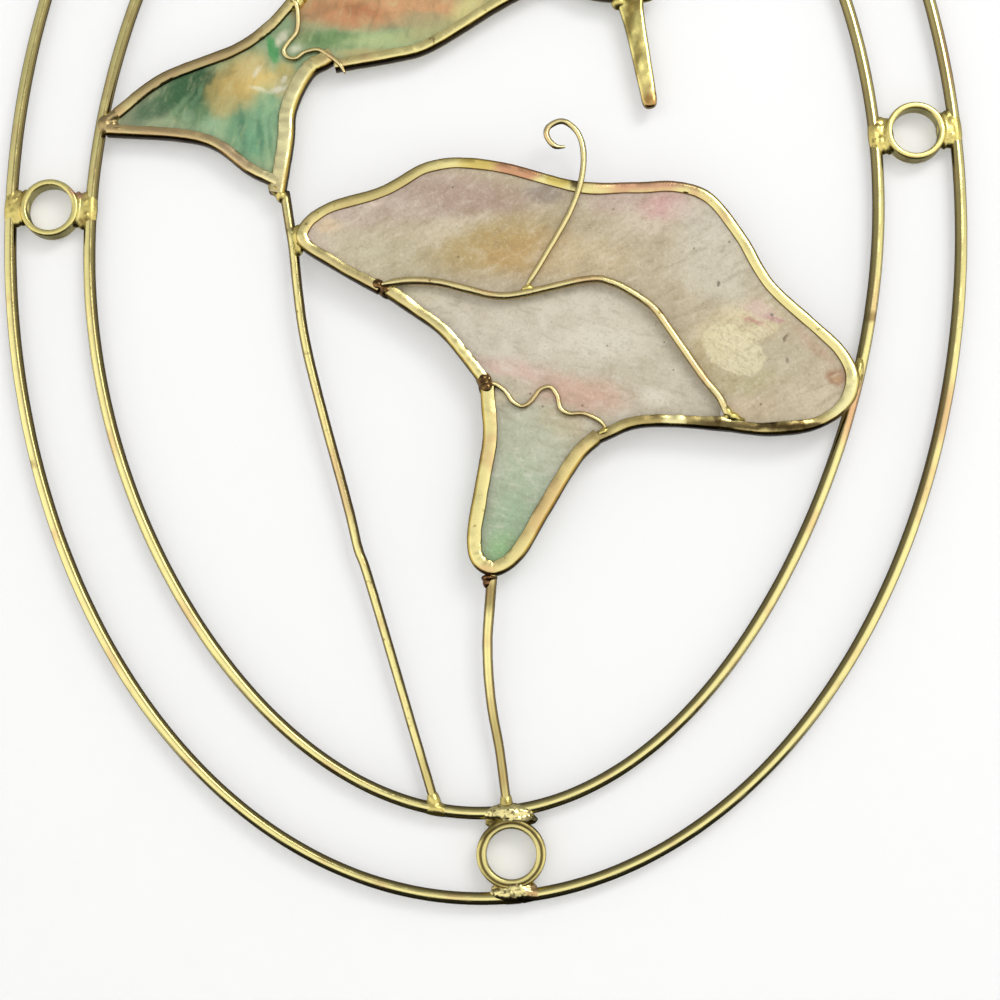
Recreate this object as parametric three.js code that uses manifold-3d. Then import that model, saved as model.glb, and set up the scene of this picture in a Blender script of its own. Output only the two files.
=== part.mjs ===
// Capiz shell suncatcher: a shell hummingbird and flower, edged in brass, inside two wire ovals.
// Millimetres, +Z up, +X to the right as seen from the front, and the front faces -Y.
// The origin is where the hook bears, at the inside top of the hanging loop.
import * as THREE from 'three';
import { mergeVertices } from 'three/addons/utils/BufferGeometryUtils.js';
import Module from 'manifold-3d';

// Ovals, to the middle of their wire
const OVAL_WIRE = 2.5;
const OUTER_HALF_WIDTH = 96.9;
const OUTER_HALF_HEIGHT = 137.3;
const OVAL_GAP = 17.6;
const INNER_LEAN = THREE.MathUtils.degToRad(1.15);
const INNER_DRAW = 1.2;
const INNER_DRAW_PHASE = THREE.MathUtils.degToRad(7);

// Hanging loop
const LOOP_BORE = 7.0;
const LOOP_WIRE = 2.0;

// Link rings between the ovals, and their solder
const SIDE_LINK_WIDTH = 12.0;
const SIDE_LINK_BORE = 9.4;
const FOOT_LINK_WIDTH = 13.6;
const FOOT_LINK_BORE = 9.8;
const LINK_DEPTH = 4.0;
const SOLDER_DEPTH = 3.2;
const SOLDER_FOOT = 9.0;
const SOLDER_NECK = 6.0;

// Where the links sit round the outer oval
const LEFT_LINK_ANGLE = THREE.MathUtils.degToRad(179);
const RIGHT_LINK_ANGLE = THREE.MathUtils.degToRad(7);
const FOOT_LINK_ANGLE = THREE.MathUtils.degToRad(-86);
const HEAD_LINK_ANGLE = THREE.MathUtils.degToRad(90);

// Shell sheets and the folded brass strip round them
const SHELL = 0.8;
const STRIP_WIDTH = 2.3;
const CALYX_STRIP_WIDTH = 2.9;
const TAIL_BACK_STRIP_WIDTH = 3.3;
const STRIP_DEPTH = 3.2;
const STRIP_WALL = 0.6;
const CLEARANCE = 0.15;

// Wires on the figures
const STEM_WIRE = 2.1;
const PETAL_WIRE = 1.6;
const STAMEN_WIRE = 1.2;
const FINE_WIRE = 1.0;

// The two figures: their spans, how far each stands forward of the ovals' middle plane
const FLOWER_SPAN = 112.5;
const FLOWER_FORWARD = OVAL_WIRE / 2 + STRIP_DEPTH / 2 + CLEARANCE;
const PETAL_LAYER = 0.55;
const PETAL_LAP = 2.4;
const BIRD_SPAN = 112.5;
const BIRD_FORWARD = 1.0;
const BEAK_DEPTH = 2.2;

// Where the figures and the stems meet the inner oval
const FLOWER_TIP_ANGLE = THREE.MathUtils.degToRad(-16.4);
const TAIL_TIP_ANGLE = THREE.MathUtils.degToRad(171.2);
const REAR_WING_ANGLE = THREE.MathUtils.degToRad(121);
const FORE_WING_ANGLE = THREE.MathUtils.degToRad(64);
const LONG_STEM_ANGLE = THREE.MathUtils.degToRad(-94.5);
const FLOWER_STEM_ANGLE = THREE.MathUtils.degToRad(-84.5);

// Flower outlines in hundredths of its span, from its right tip, clockwise from the front
const PETAL_EDGE_SHARES = [
  [-86.5, 16.7], [-93.4, 20.7], [-99.8, 25.2], [-99.3, 29.3], [-94.4, 32.9], [-84.9, 35.8],
  [-77.5, 39.9], [-70.8, 41], [-62, 39.8], [-49.8, 36.4], [-39.3, 36], [-31.7, 36.1],
  [-25.4, 33.7], [-19.6, 26.2], [-14.8, 17.7], [-7.9, 10.9], [-2.4, 5.4], [0, 0], [-2, -5.5],
  [-8.2, -9.2], [-16.2, -10.1], [-23.7, -9.2],
];
const LIP_EDGE_SHARES = [[-24.2, -9.2], [-32.7, -8.4], [-39.6, -8.7], [-44.7, -10.8]];
const CALYX_EDGE_SHARES = [
  [-45.6, -11.2], [-49.3, -14.9], [-54.8, -23.9], [-59.6, -31.8], [-64.6, -34.8], [-68.5, -32.4],
  [-69.2, -26.8], [-67.5, -16.6], [-66.5, -9.8], [-66.9, -2.8],
];
const CHEEK_EDGE_SHARES = [[-67.8, 0.5], [-70.8, 4.5], [-74.9, 9.1], [-82.6, 14.6]];
const PETAL_LINE_SHARES = [
  [-84.6, 17.5], [-79.5, 18.1], [-74.2, 17.7], [-69.2, 16.4], [-63.9, 15.2], [-59, 15.6],
  [-47.9, 18], [-43.4, 17.4], [-39.5, 15.3], [-35.9, 12.5], [-33.2, 8.7], [-27.6, 0.3],
  [-24.5, -3.8], [-23.6, -6.7],
];
const CALYX_LINE_SHARES = [
  [-66.9, -0.8], [-64.6, -0.5], [-62.5, -1.9], [-61.2, -3.7], [-59.5, -4.6], [-57.9, -3.6],
  [-56.4, -1.7], [-54.6, -1.2], [-53.3, -2.7], [-52.7, -5], [-51.2, -6], [-48.7, -6], [-46, -7.2],
  [-44.5, -8.8],
];
const STAMEN_LINE_SHARES = [
  [-58.7, 16.8], [-54.8, 23.4], [-51.3, 29.5], [-49.2, 34.8], [-48.4, 39.4], [-48.7, 43.1],
  [-50, 45.7], [-52.3, 47.1], [-54.7, 46], [-54.9, 44.2], [-53.5, 42.5], [-51.7, 42.3],
];

// Bird outlines in hundredths of its span, from the tip of its tail, clockwise from the front
const TAIL_TOP_EDGE_SHARES = [[1.1, 2.5], [9.9, 9.2], [22.9, 14.4], [28.8, 18.5], [32.5, 22.6]];
const BACK_EDGE_SHARES = [
  [33.5, 24], [38.4, 30.8], [46.1, 37.2], [59.1, 42.8], [72.1, 45.6], [83.2, 46.2], [92.4, 44.1],
  [98.8, 37.8], [100, 30], [98.4, 23.3],
];
const BELLY_EDGE_SHARES = [
  [93.2, 21.8], [88.2, 22.6], [83.1, 25.1], [78.9, 24.4], [71.4, 20.4], [63.5, 15.4], [58, 12.4],
  [52.6, 11.1], [44.9, 9.8],
];
const TAIL_BACK_EDGE_SHARES = [[40.4, 10], [37.6, 8.1], [34.8, 2], [34.4, -3.9], [33, -13.5]];
const TAIL_FOOT_EDGE_SHARES = [[25.7, -9.7], [19.8, -5.2], [13.1, -3.4], [0, -2.4]];
const RUMP_LINE_SHARES = [
  [33.2, 22.9], [34.6, 21.9], [35, 19.4], [34.7, 16.7], [33.2, 14.7], [32.4, 13.2], [33.1, 11.9],
  [34.6, 11.6], [36.2, 12.7], [38.6, 13.2], [40.6, 12.1], [42.7, 10.3], [43.8, 8.4],
];
const BEAK_EDGE_SHARES = [
  [93.4, 21.5], [94.9, 16.2], [97.2, 5.5], [98, 2.2], [99.2, 1.6], [100.4, 2.5], [100.1, 5.9],
  [99.3, 11.6], [98.2, 19.9], [98.3, 23.1],
];

// Wing outlines in hundredths of each wing's length, from the middle of its root towards its tip,
// and where each root starts and ends along the bird's back
const WING_TRAILING_EDGE_SHARES = [[14, 27], [36, 30], [62, 26], [84, 17], [95.5, 9]];
const WING_LEADING_EDGE_SHARES = [[95.5, -9], [84, -16], [68, -19], [52, -19.5], [36, -17]];
const REAR_WING_ROOT_SHARES = [0.13, 0.33];
const FORE_WING_ROOT_SHARES = [0.4, 0.6];
const FEATHER_LINES_SHARES = [[[16, 9], [44, 14], [66, 12]], [[18, -4], [46, -2], [78, 3]]];

// Where the flower's stem starts under the calyx, in hundredths of the flower's span, and each stem's
// bow to the left in hundredths of its length, for the long stem of its length below the flower's tip
const FLOWER_STEM_TOP_SHARES = [-64.9, -34.8];
const FLOWER_STEM_BOW_SHARES = [[10.2, -1.4], [29.8, -3.9], [53, -3.9], [74.4, -1.6]];
const LONG_STEM_BOW_SHARES = [[18, -2.1], [46, -1.9], [54, -2], [60, -1.5], [87, -0.5]];

// Facets
const OVAL_FACETS = 52;
const RING_FACETS = 18;
const WIRE_SIDES = 8;
const FINE_WIRE_SIDES = 6;
const STEPS_PER_POINT = 2;
const OVAL_SAMPLES = 720;

const OVAL_CENTRE_Z = -(LOOP_BORE + LOOP_WIRE + CLEARANCE + OVAL_WIRE / 2 + OUTER_HALF_HEIGHT);
const OUTER_OVAL = { halfWidth: OUTER_HALF_WIDTH, halfHeight: OUTER_HALF_HEIGHT, lean: 0, draw: 0 };
const INNER_OVAL = {
  halfWidth: OUTER_HALF_WIDTH - OVAL_GAP,
  halfHeight: OUTER_HALF_HEIGHT - OVAL_GAP,
  lean: INNER_LEAN,
  draw: INNER_DRAW,
};

const BRASS = new THREE.MeshStandardMaterial({ color: '#c9ac4e', roughness: 0.3, metalness: 1 });
const SOLDERED_BRASS = new THREE.MeshStandardMaterial({ color: '#cdb75e', roughness: 0.35, metalness: 1 });
const PETAL_SHELL = new THREE.MeshStandardMaterial({ color: '#c9bfa6', roughness: 0.4, metalness: 0 });
const LOWER_SHELL = new THREE.MeshStandardMaterial({ color: '#c5c6b2', roughness: 0.4, metalness: 0 });
const BIRD_SHELL = new THREE.MeshStandardMaterial({ color: '#7fa27c', roughness: 0.4, metalness: 0 });
const WING_SHELL = new THREE.MeshStandardMaterial({ color: '#a9b98a', roughness: 0.4, metalness: 0 });

const wasm = await Module();
wasm.setup();

const part = new THREE.Group();

// Solids and meshes

function toSolid(geometry) {
  const bare = geometry.clone();
  bare.deleteAttribute('normal');
  bare.deleteAttribute('uv');
  const merged = mergeVertices(bare, 1e-4);
  return new wasm.Manifold(new wasm.Mesh({
    numProp: 3,
    vertProperties: Float32Array.from(merged.attributes.position.array),
    triVerts: Uint32Array.from(merged.index.array),
  }));
}

function toGeometry(solid) {
  const mesh = solid.getMesh();
  const geometry = new THREE.BufferGeometry();
  geometry.setAttribute('position', new THREE.BufferAttribute(mesh.vertProperties, 3));
  geometry.setIndex(new THREE.BufferAttribute(mesh.triVerts, 1));
  geometry.computeVertexNormals();
  return geometry;
}

function addPiece(name, solid, material) {
  const mesh = new THREE.Mesh(toGeometry(solid), material);
  mesh.name = name;
  part.add(mesh);
}

// A curve through points laid out by hand; its samples stay in step with those points.
class DrawnCurve extends THREE.CatmullRomCurve3 {
  constructor(points) {
    super(points, false, 'catmullrom', 0.5);
  }

  getUtoTmapping(u) {
    return u;
  }
}

function regularSection(diameter, sides) {
  const corners = [];
  for (let i = 0; i < sides; i += 1) {
    const turn = (i + 0.5) / sides * 2 * Math.PI;
    corners.push(new THREE.Vector2(Math.cos(turn), Math.sin(turn)).multiplyScalar(diameter / 2));
  }
  return new THREE.Shape(corners);
}

function sweep(section, points) {
  const steps = (points.length - 1) * STEPS_PER_POINT;
  return toSolid(new THREE.ExtrudeGeometry(section, { steps, extrudePath: new DrawnCurve(points) }));
}

function wire(points, diameter, sides = FINE_WIRE_SIDES) {
  return sweep(regularSection(diameter, sides), points);
}

// A wire with the joint clearance round it, to cut its neighbours clear
function wireRoom(points, diameter, sides = FINE_WIRE_SIDES) {
  return wire(points, diameter + 2 * CLEARANCE, sides);
}

// Ovals

function ovalPoint(oval, angle) {
  const x = oval.halfWidth * Math.cos(angle);
  const z = oval.halfHeight * Math.sin(angle);
  const reach = 1 + oval.draw * Math.cos(4 * (angle - INNER_DRAW_PHASE)) / Math.hypot(x, z);
  const point = new THREE.Vector2(x, z).multiplyScalar(reach);
  point.rotateAround(new THREE.Vector2(0, 0), -oval.lean);
  return new THREE.Vector3(point.x, 0, OVAL_CENTRE_Z + point.y);
}

function inwardNormal(oval, angle) {
  const step = 2 * Math.PI / OVAL_SAMPLES;
  const along = ovalPoint(oval, angle + step).sub(ovalPoint(oval, angle - step)).normalize();
  return new THREE.Vector3(-along.z, 0, along.x);
}

class OvalCurve extends THREE.Curve {
  constructor(oval) {
    super();
    this.oval = oval;
  }

  getPoint(t) {
    return ovalPoint(this.oval, t * 2 * Math.PI);
  }
}

function ovalTube(oval, diameter) {
  return toSolid(new THREE.TubeGeometry(new OvalCurve(oval), OVAL_FACETS, diameter / 2, WIRE_SIDES, true));
}

const outerOval = ovalTube(OUTER_OVAL, OVAL_WIRE);
const innerOval = ovalTube(INNER_OVAL, OVAL_WIRE);
const ovalsRoom = ovalTube(OUTER_OVAL, OVAL_WIRE + 2 * CLEARANCE)
  .add(ovalTube(INNER_OVAL, OVAL_WIRE + 2 * CLEARANCE));

function nearestOnOval(oval, point) {
  let nearest = null;
  for (let i = 0; i < OVAL_SAMPLES; i += 1) {
    const candidate = ovalPoint(oval, i / OVAL_SAMPLES * 2 * Math.PI);
    if (nearest === null || candidate.distanceTo(point) < nearest.distanceTo(point)) {
      nearest = candidate;
    }
  }
  return nearest;
}

// A point that touches the inner side of the inner oval's wire, a given distance clear of its middle
function insideOval(angle, distance) {
  return ovalPoint(INNER_OVAL, angle).addScaledVector(inwardNormal(INNER_OVAL, angle), distance);
}

// Puts a solid drawn with X along `direction`, Y across and Z through the sheet at a place on the part
function standAt(solid, centre, direction) {
  const across = new THREE.Vector3(-direction.z, 0, direction.x);
  const through = new THREE.Vector3().crossVectors(direction, across);
  const matrix = new THREE.Matrix4().makeBasis(direction, across, through).setPosition(centre);
  return solid.transform(matrix.elements);
}

function extrudeThrough(corners, depth) {
  const shape = new THREE.Shape(corners.map(([x, y]) => new THREE.Vector2(x, y)));
  const geometry = new THREE.ExtrudeGeometry(shape, { depth, steps: 1, bevelEnabled: false });
  return toSolid(geometry.translate(0, 0, -depth / 2));
}

// Solder drawn out between a ring's wall and the wire beside it
function solderWeb(start, end) {
  const middle = (start + end) / 2;
  const waist = SOLDER_NECK + (SOLDER_FOOT - SOLDER_NECK) / 3;
  return extrudeThrough([[start, -SOLDER_NECK / 2], [middle, -waist / 2], [end, -SOLDER_FOOT / 2],
    [end, SOLDER_FOOT / 2], [middle, waist / 2], [start, SOLDER_NECK / 2]], SOLDER_DEPTH);
}

function ringBand(width, bore) {
  const outside = width / 2;
  const inside = bore / 2;
  const half = LINK_DEPTH / 2;
  const edge = (outside - inside) / 4;
  const profile = [[inside, -half + edge], [inside + edge, -half], [outside - edge, -half],
    [outside, -half + edge], [outside, half - edge], [outside - edge, half], [inside + edge, half],
    [inside, half - edge], [inside, -half + edge]];
  const points = profile.map(([x, y]) => new THREE.Vector2(x, y));
  return toSolid(new THREE.LatheGeometry(points, RING_FACETS).rotateX(Math.PI / 2));
}

function boreRoom(bore) {
  const cylinder = new THREE.CylinderGeometry(bore / 2, bore / 2, 2 * LINK_DEPTH, RING_FACETS);
  return toSolid(cylinder.rotateX(Math.PI / 2));
}

function linkRing(angle, width, bore) {
  const outer = ovalPoint(OUTER_OVAL, angle);
  const inner = nearestOnOval(INNER_OVAL, outer);
  const direction = inner.clone().sub(outer).normalize();
  const reach = outer.distanceTo(inner) / 2 - CLEARANCE;
  const start = bore / 2;
  const ring = ringBand(width, bore)
    .add(solderWeb(start, reach))
    .add(solderWeb(-start, -reach))
    .subtract(boreRoom(bore));
  return standAt(ring, outer.clone().lerp(inner, 0.5), direction).subtract(ovalsRoom);
}

function hangingLoop() {
  const middle = (LOOP_BORE + LOOP_WIRE) / 2;
  const loop = toSolid(new THREE.TorusGeometry(middle, LOOP_WIRE / 2, WIRE_SIDES, RING_FACETS));
  const reach = middle + LOOP_WIRE / 2 + OVAL_WIRE / 2;
  const foot = extrudeThrough([[middle, -LOOP_WIRE], [reach, -SOLDER_NECK / 2], [reach, SOLDER_NECK / 2],
    [middle, LOOP_WIRE]], SOLDER_DEPTH);
  const centre = new THREE.Vector3(0, 0, -LOOP_BORE / 2);
  return standAt(loop.add(foot), centre, new THREE.Vector3(0, 0, -1)).subtract(ovalsRoom);
}

// Figures drawn in hundredths of their span from an anchor on the part

function onFigure(figure, [right, up], y = figure.y) {
  const unit = figure.span / 100;
  return new THREE.Vector3(figure.anchor.x + right * unit, y, figure.anchor.z + up * unit);
}

function drawn(figure, points, y = figure.y) {
  return points.map((point) => onFigure(figure, point, y));
}

// Points beside the straight run between two places, in hundredths of that run: along it and to its side
function beside(start, end, shares) {
  const run = end.clone().sub(start);
  const across = new THREE.Vector3(-run.z, 0, run.x);
  return shares.map(([along, side]) => start.clone()
    .addScaledVector(run, along / 100)
    .addScaledVector(across, side / 100));
}

// The brass strip's section: a channel open towards the shell, whose slot may sit off its middle
function channelSection(width, slotForward) {
  const half = STRIP_DEPTH / 2;
  const slot = SHELL / 2 + CLEARANCE;
  const corners = [[-half, 0], [half, 0], [half, width], [slotForward + slot, width],
    [slotForward + slot, STRIP_WALL], [slotForward - slot, STRIP_WALL], [slotForward - slot, width],
    [-half, width]];
  return new THREE.Shape(corners.map(([x, y]) => new THREE.Vector2(x, y)));
}

function stripRoomSection(width) {
  const half = STRIP_DEPTH / 2 + CLEARANCE;
  const corners = [[-half, -CLEARANCE], [half, -CLEARANCE], [half, width + CLEARANCE],
    [-half, width + CLEARANCE]];
  return new THREE.Shape(corners.map(([x, y]) => new THREE.Vector2(x, y)));
}

function strip(points, { width = STRIP_WIDTH, slotForward = 0 } = {}) {
  return sweep(channelSection(width, slotForward), points);
}

// A strip with the joint clearance round it, to cut its neighbours clear
function stripRoom(points, width = STRIP_WIDTH) {
  return sweep(stripRoomSection(width), points);
}

// Shell sheets

function sampled(points) {
  return new DrawnCurve(points).getPoints((points.length - 1) * STEPS_PER_POINT);
}

// Moves a clockwise outline inwards; each corner goes along its mitre, up to twice the distance
function inset(outline, distance) {
  return outline.map((point, i) => {
    const before = outline[(i + outline.length - 1) % outline.length];
    const after = outline[(i + 1) % outline.length];
    const arriving = point.clone().sub(before).normalize();
    const leaving = after.clone().sub(point).normalize();
    const mitre = new THREE.Vector3(arriving.z + leaving.z, 0, -arriving.x - leaving.x).normalize();
    const reach = Math.min(2, 1 / Math.max(0.1, mitre.x * arriving.z - mitre.z * arriving.x));
    return point.clone().addScaledVector(mitre, distance * reach);
  });
}

function plate(outline, y, depth) {
  const shape = new THREE.Shape(outline.map((point) => new THREE.Vector2(point.x, point.z)));
  const geometry = new THREE.ExtrudeGeometry(shape, { depth, steps: 1, bevelEnabled: false });
  return toSolid(geometry.rotateX(Math.PI / 2).translate(0, y + depth / 2, 0));
}

// Room for the inner oval's wire, drawn out through the depth of the strips that end at it
function ovalCorridor() {
  const reach = OVAL_WIRE / 2 + CLEARANCE;
  const edge = (distance) => Array.from({ length: OVAL_FACETS }, (_, i) => (
    insideOval(i / OVAL_FACETS * 2 * Math.PI, distance)));
  return plate(edge(-reach), 0, 2 * STRIP_DEPTH).subtract(plate(edge(reach), 0, 3 * STRIP_DEPTH));
}

function framedSheet(edges, y) {
  return plate(inset(edges.flatMap(sampled), STRIP_WALL + CLEARANCE), y, SHELL);
}

// Flower

const flowerTip = ovalPoint(INNER_OVAL, FLOWER_TIP_ANGLE);
const flower = { anchor: flowerTip, span: FLOWER_SPAN, y: -FLOWER_FORWARD };
const petalLayer = flower.y - PETAL_LAYER;
const lowerLayer = flower.y + PETAL_LAYER;

const petalEdge = drawn(flower, PETAL_EDGE_SHARES);
const lipEdge = drawn(flower, LIP_EDGE_SHARES);
const calyxEdge = drawn(flower, CALYX_EDGE_SHARES);
const cheekEdge = drawn(flower, CHEEK_EDGE_SHARES);

const petalLineY = petalLayer - SHELL / 2 - CLEARANCE - PETAL_WIRE / 2;
const calyxLineY = lowerLayer - SHELL / 2 - CLEARANCE - FINE_WIRE / 2;
const petalLine = drawn(flower, PETAL_LINE_SHARES, petalLineY);
const lappedEdge = drawn(flower, PETAL_LINE_SHARES).map((point) => point.setZ(point.z + PETAL_LAP));
const calyxLine = drawn(flower, CALYX_LINE_SHARES, calyxLineY);

function stamenLine() {
  const overStrip = flower.y - STRIP_DEPTH / 2 - CLEARANCE - STAMEN_WIRE / 2;
  const pointsToRise = 3;
  return STAMEN_LINE_SHARES.map((point, i) => (
    onFigure(flower, point, THREE.MathUtils.lerp(petalLineY, overStrip, Math.min(1, i / pointsToRise)))));
}

function flowerStemLine() {
  const top = onFigure(flower, FLOWER_STEM_TOP_SHARES);
  const foot = ovalPoint(INNER_OVAL, FLOWER_STEM_ANGLE);
  return [top, ...beside(top, foot, FLOWER_STEM_BOW_SHARES), foot];
}

// Bird

const tailTip = insideOval(TAIL_TIP_ANGLE, OVAL_WIRE / 2 + CLEARANCE);
const bird = { anchor: tailTip, span: BIRD_SPAN, y: -BIRD_FORWARD };

// The strip along the tail's foot starts beside the wider strip at the tail's back
function tailFootLine() {
  const run = drawn(bird, TAIL_FOOT_EDGE_SHARES);
  const corner = onFigure(bird, TAIL_BACK_EDGE_SHARES.at(-1));
  const direction = run[0].clone().sub(corner).normalize();
  const aside = (TAIL_BACK_STRIP_WIDTH + CLEARANCE) / Math.abs(direction.x);
  return [corner.addScaledVector(direction, aside), ...run];
}

const tailTopEdge = drawn(bird, TAIL_TOP_EDGE_SHARES);
const backEdge = drawn(bird, BACK_EDGE_SHARES);
const bellyEdge = drawn(bird, BELLY_EDGE_SHARES);
const tailBackEdge = drawn(bird, TAIL_BACK_EDGE_SHARES);
const tailFootEdge = tailFootLine();
const overBirdShell = bird.y - SHELL / 2 - CLEARANCE - FINE_WIRE / 2;
const rumpLine = drawn(bird, RUMP_LINE_SHARES, overBirdShell);

function beak() {
  return plate(drawn(bird, BEAK_EDGE_SHARES), bird.y, BEAK_DEPTH)
    .subtract(stripRoom(backEdge))
    .subtract(stripRoom(bellyEdge));
}

// A wing stands on a stretch of the bird's back and reaches the inner oval with its tip
function wing(rootShares, tipAngle) {
  const back = new DrawnCurve(backEdge);
  const rootStart = back.getPoint(rootShares[0]);
  const rootEnd = back.getPoint(rootShares[1]);
  const root = rootStart.clone().lerp(rootEnd, 0.5);
  const tip = insideOval(tipAngle, OVAL_WIRE / 2 + CLEARANCE);
  tip.y = bird.y;
  const trailing = beside(root, tip, WING_TRAILING_EDGE_SHARES);
  const leading = beside(root, tip, WING_LEADING_EDGE_SHARES);
  const edge = [rootStart, ...trailing, tip, ...leading, rootEnd];
  const feathers = FEATHER_LINES_SHARES.map((shares) => beside(root, tip, shares));
  return { edge, feathers };
}

// Long stem at the left: from under the tail, past the flower's left tip, to the foot of the inner oval
function longStemLine() {
  const aside = STEM_WIRE / 2 + CLEARANCE;
  const top = onFigure(bird, TAIL_BACK_EDGE_SHARES.at(-1));
  top.z -= aside;
  const flowerSide = onFigure(flower, PETAL_EDGE_SHARES[2]);
  flowerSide.x -= aside;
  flowerSide.y = (flower.y + bird.y) / 2;
  const foot = ovalPoint(INNER_OVAL, LONG_STEM_ANGLE);
  const bow = beside(flowerSide, foot, LONG_STEM_BOW_SHARES);
  return [top, top.clone().lerp(flowerSide, 0.6), flowerSide, ...bow, foot];
}

// Room kept round the pieces that their neighbours are fitted to
const petalLineRoom = wireRoom(petalLine, PETAL_WIRE);
const calyxLineRoom = wireRoom(calyxLine, FINE_WIRE);
const rumpLineRoom = wireRoom(rumpLine, FINE_WIRE);
const longStem = longStemLine();
const longStemRoom = wireRoom(longStem, STEM_WIRE, WIRE_SIDES);
const calyxRoom = stripRoom(calyxEdge, CALYX_STRIP_WIDTH);
const backRoom = stripRoom(backEdge);
const tailBackRoom = stripRoom(tailBackEdge, TAIL_BACK_STRIP_WIDTH);
const tailFootRoom = stripRoom(tailFootEdge);
const corridor = ovalCorridor();

function fitted(solid, ...rooms) {
  return rooms.reduce((remaining, room) => remaining.subtract(room), solid);
}

function addFrame() {
  addPiece('outer_oval', outerOval, BRASS);
  addPiece('inner_oval', innerOval, BRASS);
  addPiece('hanging_loop', hangingLoop(), SOLDERED_BRASS);
  addPiece('link_ring_left', linkRing(LEFT_LINK_ANGLE, SIDE_LINK_WIDTH, SIDE_LINK_BORE), SOLDERED_BRASS);
  addPiece('link_ring_right', linkRing(RIGHT_LINK_ANGLE, SIDE_LINK_WIDTH, SIDE_LINK_BORE), SOLDERED_BRASS);
  addPiece('link_ring_foot', linkRing(FOOT_LINK_ANGLE, FOOT_LINK_WIDTH, FOOT_LINK_BORE), SOLDERED_BRASS);
  addPiece('link_ring_head', linkRing(HEAD_LINK_ANGLE, SIDE_LINK_WIDTH, SIDE_LINK_BORE), SOLDERED_BRASS);
}

function addFlower() {
  const petalFoot = drawn(flower, PETAL_LINE_SHARES).reverse();
  const lowerEdges = [lappedEdge, lipEdge, calyxEdge, cheekEdge];
  addPiece('upper_petal', fitted(framedSheet([petalEdge, petalFoot], petalLayer), tailBackRoom), PETAL_SHELL);
  addPiece('lower_petal_and_calyx', framedSheet(lowerEdges, lowerLayer), LOWER_SHELL);
  const petalStrip = strip(petalEdge, { slotForward: PETAL_LAYER });
  const lipStrip = strip(lipEdge, { slotForward: -PETAL_LAYER });
  const calyxStrip = strip(calyxEdge, { width: CALYX_STRIP_WIDTH, slotForward: -PETAL_LAYER });
  const cheekStrip = strip(cheekEdge, { slotForward: -PETAL_LAYER });
  addPiece('petal_edging', fitted(petalStrip, petalLineRoom, longStemRoom, tailBackRoom), BRASS);
  addPiece('lip_edging', fitted(lipStrip, calyxLineRoom, calyxRoom), BRASS);
  addPiece('calyx_edging', fitted(calyxStrip, calyxLineRoom), BRASS);
  addPiece('cheek_edging', fitted(cheekStrip, calyxLineRoom, petalLineRoom), BRASS);
  addPiece('petal_wire', wire(petalLine, PETAL_WIRE), BRASS);
  addPiece('calyx_wire', wire(calyxLine, FINE_WIRE), BRASS);
  addPiece('stamen_wire', wire(stamenLine(), STAMEN_WIRE), BRASS);
  const flowerStem = wire(flowerStemLine(), STEM_WIRE, WIRE_SIDES);
  addPiece('flower_stem', fitted(flowerStem, calyxRoom, ovalsRoom), BRASS);
  const stem = wire(longStem, STEM_WIRE, WIRE_SIDES);
  addPiece('long_stem', fitted(stem, tailBackRoom, tailFootRoom, ovalsRoom), BRASS);
}

function addBird() {
  const edges = [tailTopEdge, backEdge, bellyEdge, tailBackEdge, tailFootEdge];
  addPiece('bird_body', framedSheet(edges, bird.y), BIRD_SHELL);
  addPiece('tail_top_edging', fitted(strip(tailTopEdge), rumpLineRoom, corridor), BRASS);
  addPiece('back_edging', fitted(strip(backEdge), rumpLineRoom), BRASS);
  addPiece('belly_edging', fitted(strip(bellyEdge), rumpLineRoom), BRASS);
  const tailBackStrip = strip(tailBackEdge, { width: TAIL_BACK_STRIP_WIDTH });
  addPiece('tail_back_edging', fitted(tailBackStrip, rumpLineRoom), BRASS);
  addPiece('tail_foot_edging', fitted(strip(tailFootEdge), tailBackRoom, corridor), BRASS);
  addPiece('rump_wire', wire(rumpLine, FINE_WIRE), BRASS);
  addPiece('beak', beak(), BRASS);
}

function addWing(name, rootShares, tipAngle) {
  const { edge, feathers } = wing(rootShares, tipAngle);
  addPiece(name, fitted(framedSheet([edge], bird.y), backRoom), WING_SHELL);
  addPiece(`${name}_edging`, fitted(strip(edge), backRoom, corridor), BRASS);
  feathers.forEach((line, i) => {
    const onShell = line.map((point) => point.setY(overBirdShell));
    addPiece(`${name}_feather_wire_${i + 1}`, wire(onShell, FINE_WIRE), BRASS);
  });
}

addFrame();
addFlower();
addBird();
addWing('rear_wing', REAR_WING_ROOT_SHARES, REAR_WING_ANGLE);
addWing('fore_wing', FORE_WING_ROOT_SHARES, FORE_WING_ANGLE);

export default part;
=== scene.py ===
import math

import bpy
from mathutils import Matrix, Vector, noise
from mathutils.geometry import interpolate_bezier


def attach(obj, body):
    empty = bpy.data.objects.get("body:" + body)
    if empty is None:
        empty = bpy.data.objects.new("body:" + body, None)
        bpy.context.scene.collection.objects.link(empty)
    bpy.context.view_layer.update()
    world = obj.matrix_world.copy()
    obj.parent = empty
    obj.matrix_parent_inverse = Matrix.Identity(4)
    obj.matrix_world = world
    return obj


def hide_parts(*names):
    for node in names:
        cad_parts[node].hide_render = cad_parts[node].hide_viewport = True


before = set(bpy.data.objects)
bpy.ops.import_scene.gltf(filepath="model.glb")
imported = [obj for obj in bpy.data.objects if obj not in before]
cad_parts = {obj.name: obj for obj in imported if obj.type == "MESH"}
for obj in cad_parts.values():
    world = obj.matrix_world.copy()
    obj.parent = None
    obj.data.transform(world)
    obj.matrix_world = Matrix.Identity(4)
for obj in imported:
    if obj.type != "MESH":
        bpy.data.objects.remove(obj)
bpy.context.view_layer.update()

# Lengths are millimetres and become metres in place(); +X right, +Z up, and the front faces -Y
MILLIMETRE = 0.001

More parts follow.
